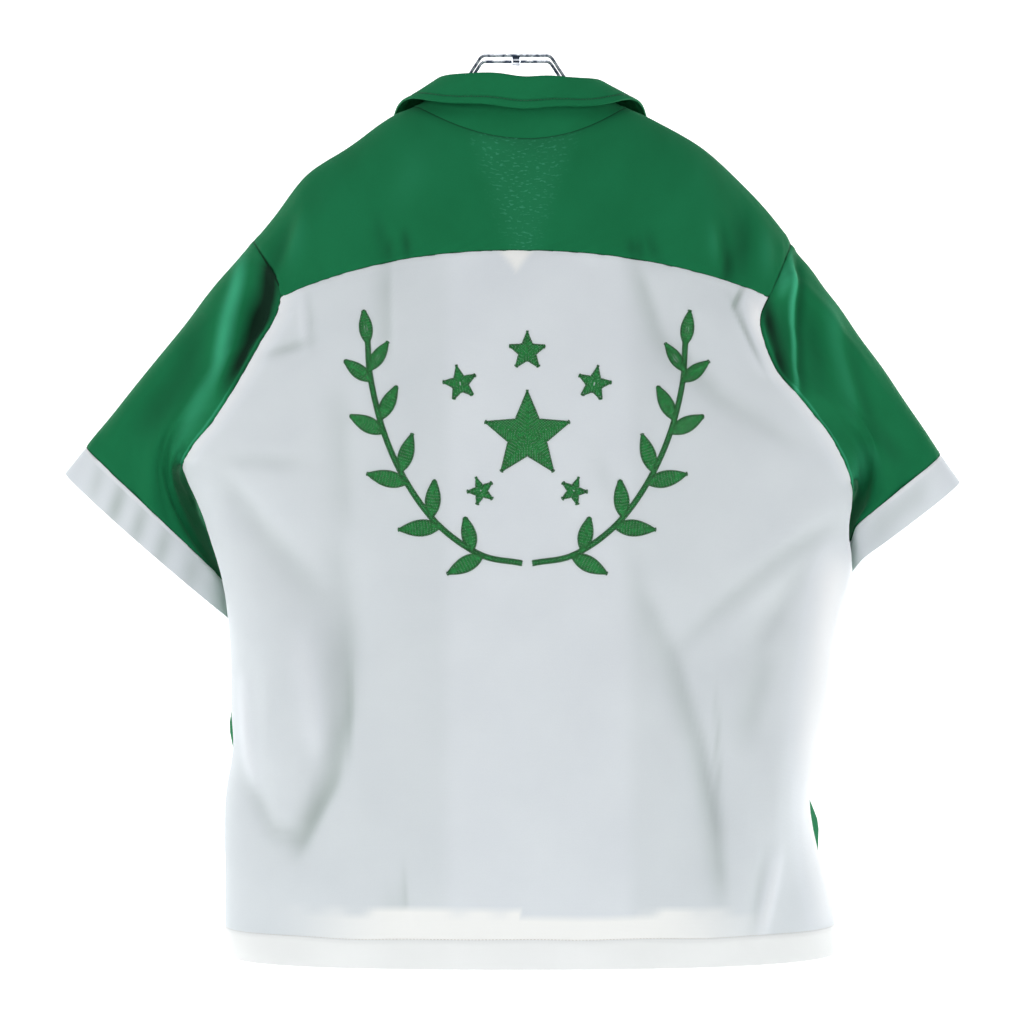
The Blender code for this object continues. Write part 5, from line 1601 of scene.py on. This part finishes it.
def lapel_piece(side):
    columns, rows = 4, 6
    net = []
    for j in range(rows + 1):
        part = LAPEL_START + (LAPEL_END - LAPEL_START) * j / rows
        edge = torso(*v_spot(side, part))
        width = LAPEL_WIDTH * (1 - j / rows) ** 0.8 + 0.003
        net.append([(edge.x + side * (0.0015 + width * i / columns * 0.86), edge.y,
                     edge.z - width * i / columns * 0.5) for i in range(columns + 1)])
    net = finer(net, lines_along(rows, 5), lines_along(columns, 6))
    net = net_of([[drop(trees[side], Vector(point), AHEAD, LAPEL_LIFT)[0] for point in row]
                  for row in net])
    net[1:-1, 1:-1] = (net[1:-1, 1:-1] * 2 + net[:-2, 1:-1] + net[2:, 1:-1]) / 4
    return shell("knit_lapel_" + SIDE_NAMES[side], net, outward(net, False, AHEAD), CLOTH, "green_knit")


lapels = {side: lapel_piece(side) for side in SIDE_NAMES}

# %% [markdown]
# ## Stitches along a line
#
# Each seam that shows is a row of lock stitches: short, slightly sunk dashes of thread. They could
# be placed one by one, but a row is a rule, so a Geometry Nodes tree makes it. The path is a plain
# line of points lying on the cloth, and each point carries an arrow, called out, that points away
# from it. The tree cuts the path into even steps, puts one stitch on each step, turns it along the
# path and lays its flat side on the cloth.

# %% A tree that sews along a path
def sewing_tree(name, make_unit, numbers):
    """A node tree that repeats one small unit along a path. numbers are its named inputs."""
    tree = bpy.data.node_groups.new(name, "GeometryNodeTree")
    sockets = tree.interface
    sockets.new_socket("Geometry", in_out="OUTPUT", socket_type="NodeSocketGeometry")
    sockets.new_socket("Geometry", in_out="INPUT", socket_type="NodeSocketGeometry")
    for label, value in numbers.items():
        kind = "NodeSocketInt" if isinstance(value, int) else "NodeSocketFloat"
        socket = sockets.new_socket(label, in_out="INPUT", socket_type=kind)
        socket.default_value = value
    sockets.new_socket("Finish", in_out="INPUT", socket_type="NodeSocketMaterial")
    given = tree.nodes.new("NodeGroupInput").outputs
    path = add(tree, "GeometryNodeMeshToCurve", Mesh=given["Geometry"])
    steps = add(tree, "GeometryNodeResampleCurve", Curve=path.outputs[0])
    steps.mode = "LENGTH"
    tree.links.new(given["Pitch"], steps.inputs["Length"])
    tangent = tree.nodes.new("GeometryNodeInputTangent")
    out = add(tree, "GeometryNodeInputNamedAttribute", Name="out")
    out.data_type = "FLOAT_VECTOR"
    ahead = add(tree, "FunctionNodeAlignRotationToVector", Vector=tangent.outputs[0])
    ahead.axis = "X"
    flat = add(tree, "FunctionNodeAlignRotationToVector", Rotation=ahead.outputs[0],
               Vector=out.outputs[0])
    flat.axis = "Z"
    flat.pivot_axis = "X"
    jitter = add(tree, "FunctionNodeRandomValue", Seed=given["Seed"])
    jitter.data_type = "FLOAT_VECTOR"
    for socket, sign in (("_0", -1.0), ("_1", 1.0)):
        tilt = maths(tree, "MULTIPLY", given["Unevenness"], sign)
        turn = maths(tree, "ADD", tilt, given["Turn"])
        swing = add(tree, "ShaderNodeCombineXYZ", X=tilt, Y=tilt, Z=turn)
        feed(tree, jitter, **{socket: swing.outputs[0]})
    shaken = add(tree, "FunctionNodeEulerToRotation", Euler=jitter.outputs[0])
    turned = add(tree, "FunctionNodeRotateRotation", Rotation=flat.outputs[0],
                 _1=shaken.outputs[0])
    turned.rotation_space = "LOCAL"
    placed = add(tree, "GeometryNodeInstanceOnPoints", Points=steps.outputs[0],
                 Instance=make_unit(tree, given), Rotation=turned.outputs[0])
    whole = add(tree, "GeometryNodeRealizeInstances", Geometry=placed.outputs[0])
    smooth = add(tree, "GeometryNodeSetShadeSmooth", Geometry=whole.outputs[0])
    dyed = add(tree, "GeometryNodeSetMaterial", Geometry=smooth.outputs[0], Material=given["Finish"])
    result = tree.nodes.new("NodeGroupOutput")
    tree.links.new(dyed.outputs[0], result.inputs[0])
    return tree


def stitch_unit(tree, given):
    """One lock stitch: a long bead of thread with rounded ends."""
    bead = add(tree, "GeometryNodeMeshUVSphere", Segments=6, Rings=5, Radius=0.5)
    size = add(tree, "ShaderNodeCombineXYZ", X=given["Stitch Length"], Y=given["Thread Width"],
               Z=given["Thread Width"])
    return add(tree, "GeometryNodeTransform", Geometry=bead.outputs["Mesh"],
               Scale=size.outputs[0]).outputs[0]


STITCHES = sewing_tree("lock_stitches", stitch_unit, {
    "Pitch": 0.003, "Stitch Length": 0.0025, "Thread Width": 0.0005, "Unevenness": 0.04,
    "Turn": 0.0, "Seed": 1})
print("tree:", STITCHES.name, "with", len(STITCHES.nodes), "nodes")

# %% Sewing along paths
def path_mesh(name, lines):
    """Loose lines of points, each with its arrow out. A line is a list of (point, out)."""
    points, edges, arrows = [], [], []
    for line in lines:
        start = len(points)
        points += [tuple(point) for point, _ in line]
        arrows += [tuple(out) for _, out in line]
        edges += [(start + k, start + k + 1) for k in range(len(line) - 1)]
    mesh = bpy.data.meshes.new(name)
    mesh.from_pydata(points, edges, [])
    arrow = mesh.attributes.new("out", "FLOAT_VECTOR", "POINT")
    arrow.data.foreach_set("vector", np.array(arrows, dtype=np.float32).ravel())
    return mesh


def plain_copy(thing):
    """The mesh that an object's modifiers or its curve give. The object is removed."""
    bpy.context.view_layer.update()
    made = thing.evaluated_get(bpy.context.evaluated_depsgraph_get())
    mesh = bpy.data.meshes.new_from_object(made)
    bpy.data.objects.remove(thing)
    return mesh


def sew(name, tree, lines, finish, **numbers):
    """Runs a tree along lines and keeps the result as a plain mesh on the shirt's body."""
    path = show(name + "_path", path_mesh(name + "_path", lines))
    sewing = path.modifiers.new("sewing", "NODES")
    sewing.node_group = tree
    keys = {item.name: item.identifier for item in tree.interface.items_tree
            if item.in_out == "INPUT"}
    for label, value in numbers.items():
        sewing[keys[label.replace("_", " ")]] = value
    sewing[keys["Finish"]] = FINISHES[finish]
    mesh = plain_copy(path)
    mesh.name = name
    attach(show(name, mesh), "root")
    mesh.calc_loop_triangles()
    print(name, len(lines), "lines", len(mesh.loop_triangles), "triangles")


# %% Lines on a net
def level_line(net, out, distance, value, lift):
    """The line across a net where a distance along its first axis has a value, raised by lift."""
    line = []
    for column in range(net.shape[1]):
        row = np.interp(value, distance[:, column], np.arange(net.shape[0]))
        low = min(int(row), net.shape[0] - 2)
        share = row - low
        arrow = out[low, column] * (1 - share) + out[low + 1, column] * share
        point = net[low, column] * (1 - share) + net[low + 1, column] * share
        line.append((point + arrow * lift, arrow))
    return line


def column_line(net, out, distance, value, lift):
    """The same along the other axis."""
    return level_line(net.swapaxes(0, 1), out.swapaxes(0, 1), distance.swapaxes(0, 1), value, lift)


# %% [markdown]
# ## The sewn lines that show
#
# The turned hems are held by one row, the fronts' edges by another, and the collar by a row seven
# millimetres in from its edge. The seams between the pieces need none: there the stitches are
# inside, and only the pucker, the groove and a narrow line of painted shade show.

# %% Hem stitches
THREAD_LIFT = 0.0001        # a thread's middle lies this far off the cloth
STITCH_LIFT = CLOTH / 2 + THREAD_LIFT
EDGE_ROW = 0.006            # the row beside a front's edge

hem_line = level_line(back_net, back_out, run_lengths(back_net, 0), HEM_TURN, STITCH_LIFT)
sew("hem_stitches", STITCHES, [hem_line], "hem_thread", Seed=3)

front_lines = []
for side in SIDE_NAMES:
    net, out = front_nets[side]
    up, across = run_lengths(net, 0), run_lengths(net, 1)
    front_lines.append(level_line(net, out, up, HEM_TURN, STITCH_LIFT))
    inwards = (across[:, -1:] - across)[:, ::-1]
    front_lines.append(column_line(net[:, ::-1], out[:, ::-1], inwards, EDGE_ROW, STITCH_LIFT))
sew("front_stitches", STITCHES, front_lines, "seam_thread", Seed=4)

# %% Collar stitches
up_collar = run_lengths(collar_net, 1)
from_edge = (up_collar[:, -1:] - up_collar)[:, ::-1]
collar_row = column_line(collar_net[:, ::-1], collar_normals[:, ::-1], from_edge, COLLAR_ROW,
                         COLLAR_CLOTH / 2 + THREAD_LIFT)
sew("collar_stitches", STITCHES, [collar_row], "seam_thread", Seed=5)

# %% [markdown]
# ## The chain-stitched spray
#
# A bowling shirt's back is chain stitched: a hooked needle pulls one loop of thread through the
# last, row beside row, until a shape is filled. The design here is two leafy sprays round a star,
# with small stars above. It is drawn flat as a set of rows, each row is laid on the back
# with rays, and the same kind of tree as before turns every row into a chain of links.

# %% A chain link
def link_unit(tree, given):
    """One loop of thread, longer than it is wide."""
    ring = add(tree, "GeometryNodeCurvePrimitiveCircle", Resolution=8, Radius=0.5)
    size = add(tree, "ShaderNodeCombineXYZ", X=given["Link Length"], Y=given["Link Width"], Z=1.0)
    oval = add(tree, "GeometryNodeTransform", Geometry=ring.outputs[0], Scale=size.outputs[0])
    thread = add(tree, "GeometryNodeCurvePrimitiveCircle", Resolution=4, Radius=given["Thread Radius"])
    return add(tree, "GeometryNodeCurveToMesh", Curve=oval.outputs[0],
               Profile_Curve=thread.outputs[0]).outputs[0]


CHAIN = sewing_tree("chain_stitches", link_unit, {
    "Pitch": 0.0026, "Link Length": 0.0034, "Link Width": 0.0011, "Thread Radius": 0.00042,
    "Unevenness": 0.10, "Turn": 0.0, "Seed": 1})
print("tree:", CHAIN.name, "with", len(CHAIN.nodes), "nodes")

# %% Drawing the rows
ROW = 0.0017                # from one row of chain to the next
STEM_ROWS = 3
Leaf = namedtuple("Leaf", "x z heading length width")


def bent_line(points, count):
    """A smooth line through a few flat points."""
    line = np.array(points, dtype=float)
    return smooth_through(line, np.linspace(0, len(line) - 1, count))


def stem_rows(points):
    """Rows side by side along a bent line."""
    line = bent_line(points, 60)
    ahead = np.gradient(line, axis=0)
    ahead /= np.linalg.norm(ahead, axis=1, keepdims=True)
    aside = np.stack([-ahead[:, 1], ahead[:, 0]], 1)
    return [line + aside * ROW * (k - (STEM_ROWS - 1) / 2) for k in range(STEM_ROWS)]


def leaf_rows(leaf):
    """A pointed leaf, filled with one outline inside the other, and its mid-rib."""
    along = np.linspace(0, 1, 22)
    rows = [np.stack([along * leaf.length * 0.9, along * 0], 1)]
    for half_width in np.arange(leaf.width / 2, ROW * 0.3, -ROW * 0.94):
        inset = leaf.width / 2 - half_width
        half = half_width * np.sin(np.pi * along ** 0.85) ** 0.9
        run = inset * 1.2 + along * (leaf.length - inset * 2.6)
        rows.append(np.concatenate([np.stack([run, half], 1), np.stack([run, -half], 1)[::-1][1:]]))
    heading = math.radians(leaf.heading)
    swing = np.array(((math.cos(heading), math.sin(heading)), (-math.sin(heading), math.cos(heading))))
    return [row @ swing + (leaf.x, leaf.z) for row in rows]


def star_rows(star):
    """A five-pointed star, filled with one outline inside the other."""
    rows = []
    radius = star.radius
    while radius > ROW * 0.4:
        corners = []
        for k in range(11):
            turn = math.radians(star.turn + 90 + 36 * k)
            reach_out = radius * (1.0 if k % 2 == 0 else 0.45)
            corners.append((star.x + reach_out * math.cos(turn), star.z + reach_out * math.sin(turn)))
        corners = np.array(corners)
        rows.append(np.stack([np.interp(np.linspace(0, 10, 61), range(11), corners[:, axis])
                              for axis in (0, 1)], 1))
        radius -= ROW * 1.8
    return rows


# %% The design
SPRAY_MIDDLE = 0.0095
STEM = ((0.006, -0.462), (0.040, -0.455), (0.076, -0.430), (0.104, -0.393), (0.124, -0.350),
        (0.136, -0.303), (0.139, -0.268))
# leaves on a stem: place from 0 to 1, lean off the stem in degrees
TWIGS = named_rows(
    "length width place lean", 2,
    (34, 12.5, 0.16, -50), (30, 11.5, 0.20, 48), (36, 13, 0.33, -48), (33, 12, 0.37, 46),
    (36, 13, 0.50, -46), (34, 12, 0.54, 45), (34, 12.5, 0.67, -44), (33, 11.5, 0.71, 43),
    (30, 11, 0.83, -42), (29, 10.5, 0.87, 40), (30, 10.5, 0.985, -4))
STARS = named_rows(
    "x z radius turn", 3,
    (0, -352, 38, 0), (-58, -307, 15, 12), (58, -307, 15, -12),
    (0, -279, 16.5, 0), (-40, -400, 11.5, 20), (40, -400, 11.5, -20))

edge_rows, fill_rows = [], []
for mirror in (-1, 1):
    stem = [(mirror * x, z) for x, z in STEM]
    left_row, *middle_rows, right_row = stem_rows(stem)
    edge_rows += [left_row, right_row]
    fill_rows += middle_rows
    line = bent_line(stem, 201)
    for twig in TWIGS:
        at = int(twig.place * 200)
        ahead = line[min(at + 1, 200)] - line[at - 1]
        heading = math.degrees(math.atan2(ahead[1], ahead[0])) + mirror * twig.lean
        rib, outline, *rest = leaf_rows(Leaf(*line[at], heading, twig.length, twig.width))
        edge_rows.append(outline)
        fill_rows += [rib] + rest
for star in STARS:
    outline, *rest = star_rows(star)
    edge_rows.append(outline)
    fill_rows += rest
print("rows of chain:", len(edge_rows), "at the edges and", len(fill_rows), "inside")

# %% Laying the design on the back
CHAIN_LIFT = 0.0002


def laid(rows):
    """Flat rows dropped on the back, with each point's arrow out."""
    return [[drop(trees["back"], Vector((x + SPRAY_MIDDLE, -0.16, z)), BEHIND, CHAIN_LIFT, 0.06)
             for x, z in row] for row in rows]


sew("chain_stitched_spray", CHAIN, laid(fill_rows), "green_thread", Seed=8)
sew("chain_stitched_outlines", CHAIN, laid(edge_rows), "outline_thread", Seed=9)

# %% [markdown]
# ## Buttons and buttonholes
#
# A shirt button is turned on a lathe and drilled four times. Its outline is spun round with the
# Screw modifier, the holes are taken out with a Boolean, and the same mesh is set down on the left
# front five times. The thread that holds it and the worked edges of its buttonhole are stitches, so
# the stitch tree sews them too, with its stitches turned across the line.

# %% One button
BUTTON_OUTLINE = (          # radius and height, from the middle on top round to the middle below
    (0.0, 0.0012), (0.0034, 0.0012), (0.0040, 0.0015), (0.0045, 0.0021), (0.0051, 0.0021),
    (0.0056, 0.0016), (0.0057, 0.0011), (0.0053, 0.0003), (0.0044, 0.0), (0.0, 0.0),
)
HOLE_OFFSET = 0.0012
HOLE_RADIUS = 0.00055


def turned(name, outline, steps):
    """A body turned from an outline of radii and heights."""
    mesh = bpy.data.meshes.new(name)
    mesh.from_pydata([(radius, 0, height) for radius, height in outline],
                     [(k, k + 1) for k in range(len(outline) - 1)], [])
    thing = show(name, mesh)
    screw = thing.modifiers.new("turn", "SCREW")
    screw.steps = screw.render_steps = steps
    screw.use_merge_vertices = True
    screw.merge_threshold = 0.00001
    screw.use_smooth_shade = False
    screw.use_normal_calculate = True
    return thing


drill_mesh = plain_copy(turned("drill", ((0, -0.002), (HOLE_RADIUS, -0.002), (HOLE_RADIUS, 0.004),
                                         (0, 0.004)), 10))
blank = turned("blank_button", BUTTON_OUTLINE, 28)
for k, (x, y) in enumerate(((1, 1), (1, -1), (-1, 1), (-1, -1))):
    drill = show(f"drill_{k}", drill_mesh)
    drill.location = (x * HOLE_OFFSET, y * HOLE_OFFSET, 0)
    hole = blank.modifiers.new(f"hole_{k}", "BOOLEAN")
    hole.operation = "DIFFERENCE"
    hole.object = drill
button_mesh = plain_copy(blank)
for k in range(4):
    bpy.data.objects.remove(bpy.data.objects[f"drill_{k}"])
button_mesh.shade_smooth()
button_mesh.set_sharp_from_angle(angle=math.radians(35))
button_mesh.calc_loop_triangles()
print("one button:", len(button_mesh.loop_triangles), "triangles")

# %% Five buttons on the left front
BUTTONHOLE = 0.0165
SLIT_HALF = 0.0009          # from a buttonhole's middle to each of its worked edges
BUTTON_LIFT = 0.0004
THREAD_TOP = 0.0019         # the thread lies this far off the cloth, in the button's dish
STRAND_APART = 0.00022
button_lines, hole_lines, buttons = [], [], {}
for number in range(1, 6):
    node = frame["nodes"][f"button_{number}"]
    seat = sum((node.matrix_world @ vertex.co for vertex in node.data.vertices), Vector())
    seat /= len(node.data.vertices)
    ground, normal = drop(trees[LEFT], seat, AHEAD, CLOTH / 4)
    turn = Vector(ABOVE).rotation_difference(normal)
    side_way, up_way = turn @ Vector((1, 0, 0)), turn @ Vector((0, 1, 0))
    mesh = button_mesh.copy()
    mesh.transform(turn.to_matrix().to_4x4())
    mesh.transform(Matrix.Translation(ground + normal * BUTTON_LIFT))
    paint(mesh, "button_green")
    buttons[show(f"drilled_button_{number}", mesh)] = node.name
    top = ground + normal * THREAD_TOP
    for x in (-HOLE_OFFSET, HOLE_OFFSET):
        for strand in (-STRAND_APART, STRAND_APART):
            start = top + side_way * (x + strand) - up_way * 0.0002
            button_lines.append([(start, normal), (start + up_way * 0.0001, normal)])
    for x in (-SLIT_HALF, SLIT_HALF):
        line = []
        for k in range(12):
            place = ground + Vector((x, 0, (k / 11 - 0.5) * BUTTONHOLE))
            line.append(drop(trees[LEFT], place, AHEAD, 0.0002))
        hole_lines.append(line)
sew("button_thread", STITCHES, button_lines, "green_thread", Pitch=0.01, Stitch_Length=0.0030,
    Thread_Width=0.0004, Turn=0.0, Seed=6)
sew("buttonhole_stitches", STITCHES, hole_lines, "green_thread", Pitch=0.0006, Stitch_Length=0.0016,
    Thread_Width=0.00045, Turn=math.pi / 2, Seed=7)
print("buttons:", len(buttons))

# %% [markdown]
# ## The hanger
#
# The hanger is one long loop of chromed wire with two runs side by side, and a small saddle at the
# top of its neck. The solid model's wire has six sides, which a mirror-like finish shows at once.
# Here the same loop is a curve with a round bevel: a path plus a cross-section, as wire is drawn.

# %% Hanger wire
WIRE = 0.0014
WIRE_APART = 0.0115
WIRE_CLEAR = 0.0013
HANGER_TIP = 0.190
SHOULDER_START = 0.088
NECK_TOP = 0.0312
ELBOW = (0.0545, -0.0370)


def wire_height(x):
    """Height of a wire's middle, so that it lies just under the lower shoulder."""
    lowest = 0.0
    for side in SIDE_NAMES:
        spot = spot_by_depth(side * x, -WIRE_APART)
        point, normal = smooth_torso(*spot), surface_normal(smooth_torso, *spot)
        slope_drop = (CLOTH / 2 + WIRE + WIRE_CLEAR) / max(normal.z, 0.3)
        lowest = min(lowest, point.z - slope_drop)
    return lowest


def rounded(corners, radii, step=0.004):
    """A closed line through corners, with each corner rounded by its radius."""
    points = []
    count = len(corners)
    for k, (corner, radius) in enumerate(zip(corners, radii)):
        before, after = corners[k - 1], corners[(k + 1) % count]
        to_before, to_after = (before - corner).normalized(), (after - corner).normalized()
        if radius == 0:
            points.append(corner)
            continue
        half = to_before.angle(to_after) / 2
        run = radius / math.tan(half)
        middle = corner + (to_before + to_after).normalized() * radius / math.sin(half)
        start, end = corner + to_before * run - middle, corner + to_after * run - middle
        turn = start.angle(end)
        pieces = max(2, math.ceil(radius * turn / step))
        for n in range(pieces + 1):
            share = n / pieces
            swing = (start * math.sin((1 - share) * turn) + end * math.sin(share * turn))
            points.append(middle + swing / math.sin(turn))
    return points


def hanger_path():
    """One long loop of wire: a near run, a far run, and a bend at each tip."""
    reach_out = [SHOULDER_START + (HANGER_TIP - SHOULDER_START) * k / 7 for k in range(8)]
    half = [(NECK_TOP, -WIRE, 0.006), (ELBOW[0], ELBOW[1], 0.012)]
    half += [(x, wire_height(x), 0.0) for x in reach_out[:-1]]
    half += [(HANGER_TIP, wire_height(HANGER_TIP), WIRE_APART * 0.98)]
    corners, radii = [], []
    for y, mirror in ((-WIRE_APART, 1), (WIRE_APART, -1)):
        run = [(-x, z, radius) for x, z, radius in reversed(half)] + half
        corners += [Vector((x * mirror, y, z)) for x, z, _ in run]
        radii += [radius for _, _, radius in run]
    return rounded(corners, radii, 0.0015)


wire_points = hanger_path()
wire_curve = bpy.data.curves.new("chromed_wire", "CURVE")
wire_curve.dimensions = "3D"
wire_curve.bevel_depth = WIRE
wire_curve.bevel_resolution = 4
run = wire_curve.splines.new("POLY")
run.points.add(len(wire_points) - 1)
for place, point in zip(run.points, wire_points):
    place.co = (*point, 1.0)
run.use_cyclic_u = True
wire_mesh = plain_copy(show("chromed_wire_path", wire_curve))
wire_mesh.name = "chromed_wire"
wire_mesh.shade_smooth()
paint(wire_mesh, "chrome")
wire = show("chromed_wire", wire_mesh)
print("wire:", len(wire_points), "bends and", len(wire_mesh.polygons), "faces")

# %% [markdown]
# ## Handing the pieces over
#
# Every piece rides on the shirt's one body, and the plain solid that it stands for is hidden. A
# table at the end lists the flat size that each cloth piece was cut to.

# %% Pieces and the solids that they stand for
def hand_over(piece, node_name):
    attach(piece, "root")
    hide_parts(node_name)


stands_for = {back_panel: "back_panel", yoke: "back_yoke", collar: "collar"}
for side, name in SIDE_NAMES.items():
    stands_for[fronts[side]] = "front_" + name
    stands_for[lapels[side]] = "lapel_" + name
    stands_for[sleeves[side]["sleeve"]] = "sleeve_" + name
    stands_for[sleeves[side]["cuff"]] = "cuff_" + name
for piece, node_name in stands_for.items():
    hand_over(piece, node_name)
for button, node_name in buttons.items():
    hand_over(button, node_name)
hand_over(wire, "hanger_wire")
paint(frame["nodes"]["hanger_saddle"].data, "chrome")
print("pieces:", len(stands_for) + len(buttons) + 1)

# %% Flat sizes of the cloth
# metres, and square metres for the pieces whose outline isn't nearly a rectangle
CUTS = named_rows(
    "piece width length area held", 0,
    (back_panel, 0.62, 0.64, 0.368, "hung"),
    (yoke, 0.60, 0.24, 0.085, "hung"),
    (fronts[LEFT], 0.34, 0.72, 0.212, "hung"),
    (fronts[RIGHT], 0.34, 0.72, 0.216, "hung"),
    (sleeves[LEFT]["sleeve"], 0.50, 0.24, 0.060, "hung"),
    (sleeves[RIGHT]["sleeve"], 0.50, 0.24, 0.062, "hung"),
    (sleeves[LEFT]["cuff"], 0.40, 0.031, None, "hung"),
    (sleeves[RIGHT]["cuff"], 0.40, 0.031, None, "hung"),
    (collar, 0.60, 0.085, None, "folded"),
    (lapels[LEFT], 0.055, 0.080, 0.0017, "folded"),
    (lapels[RIGHT], 0.055, 0.080, 0.0017, "folded"))
print("cloth pieces:", len(CUTS))
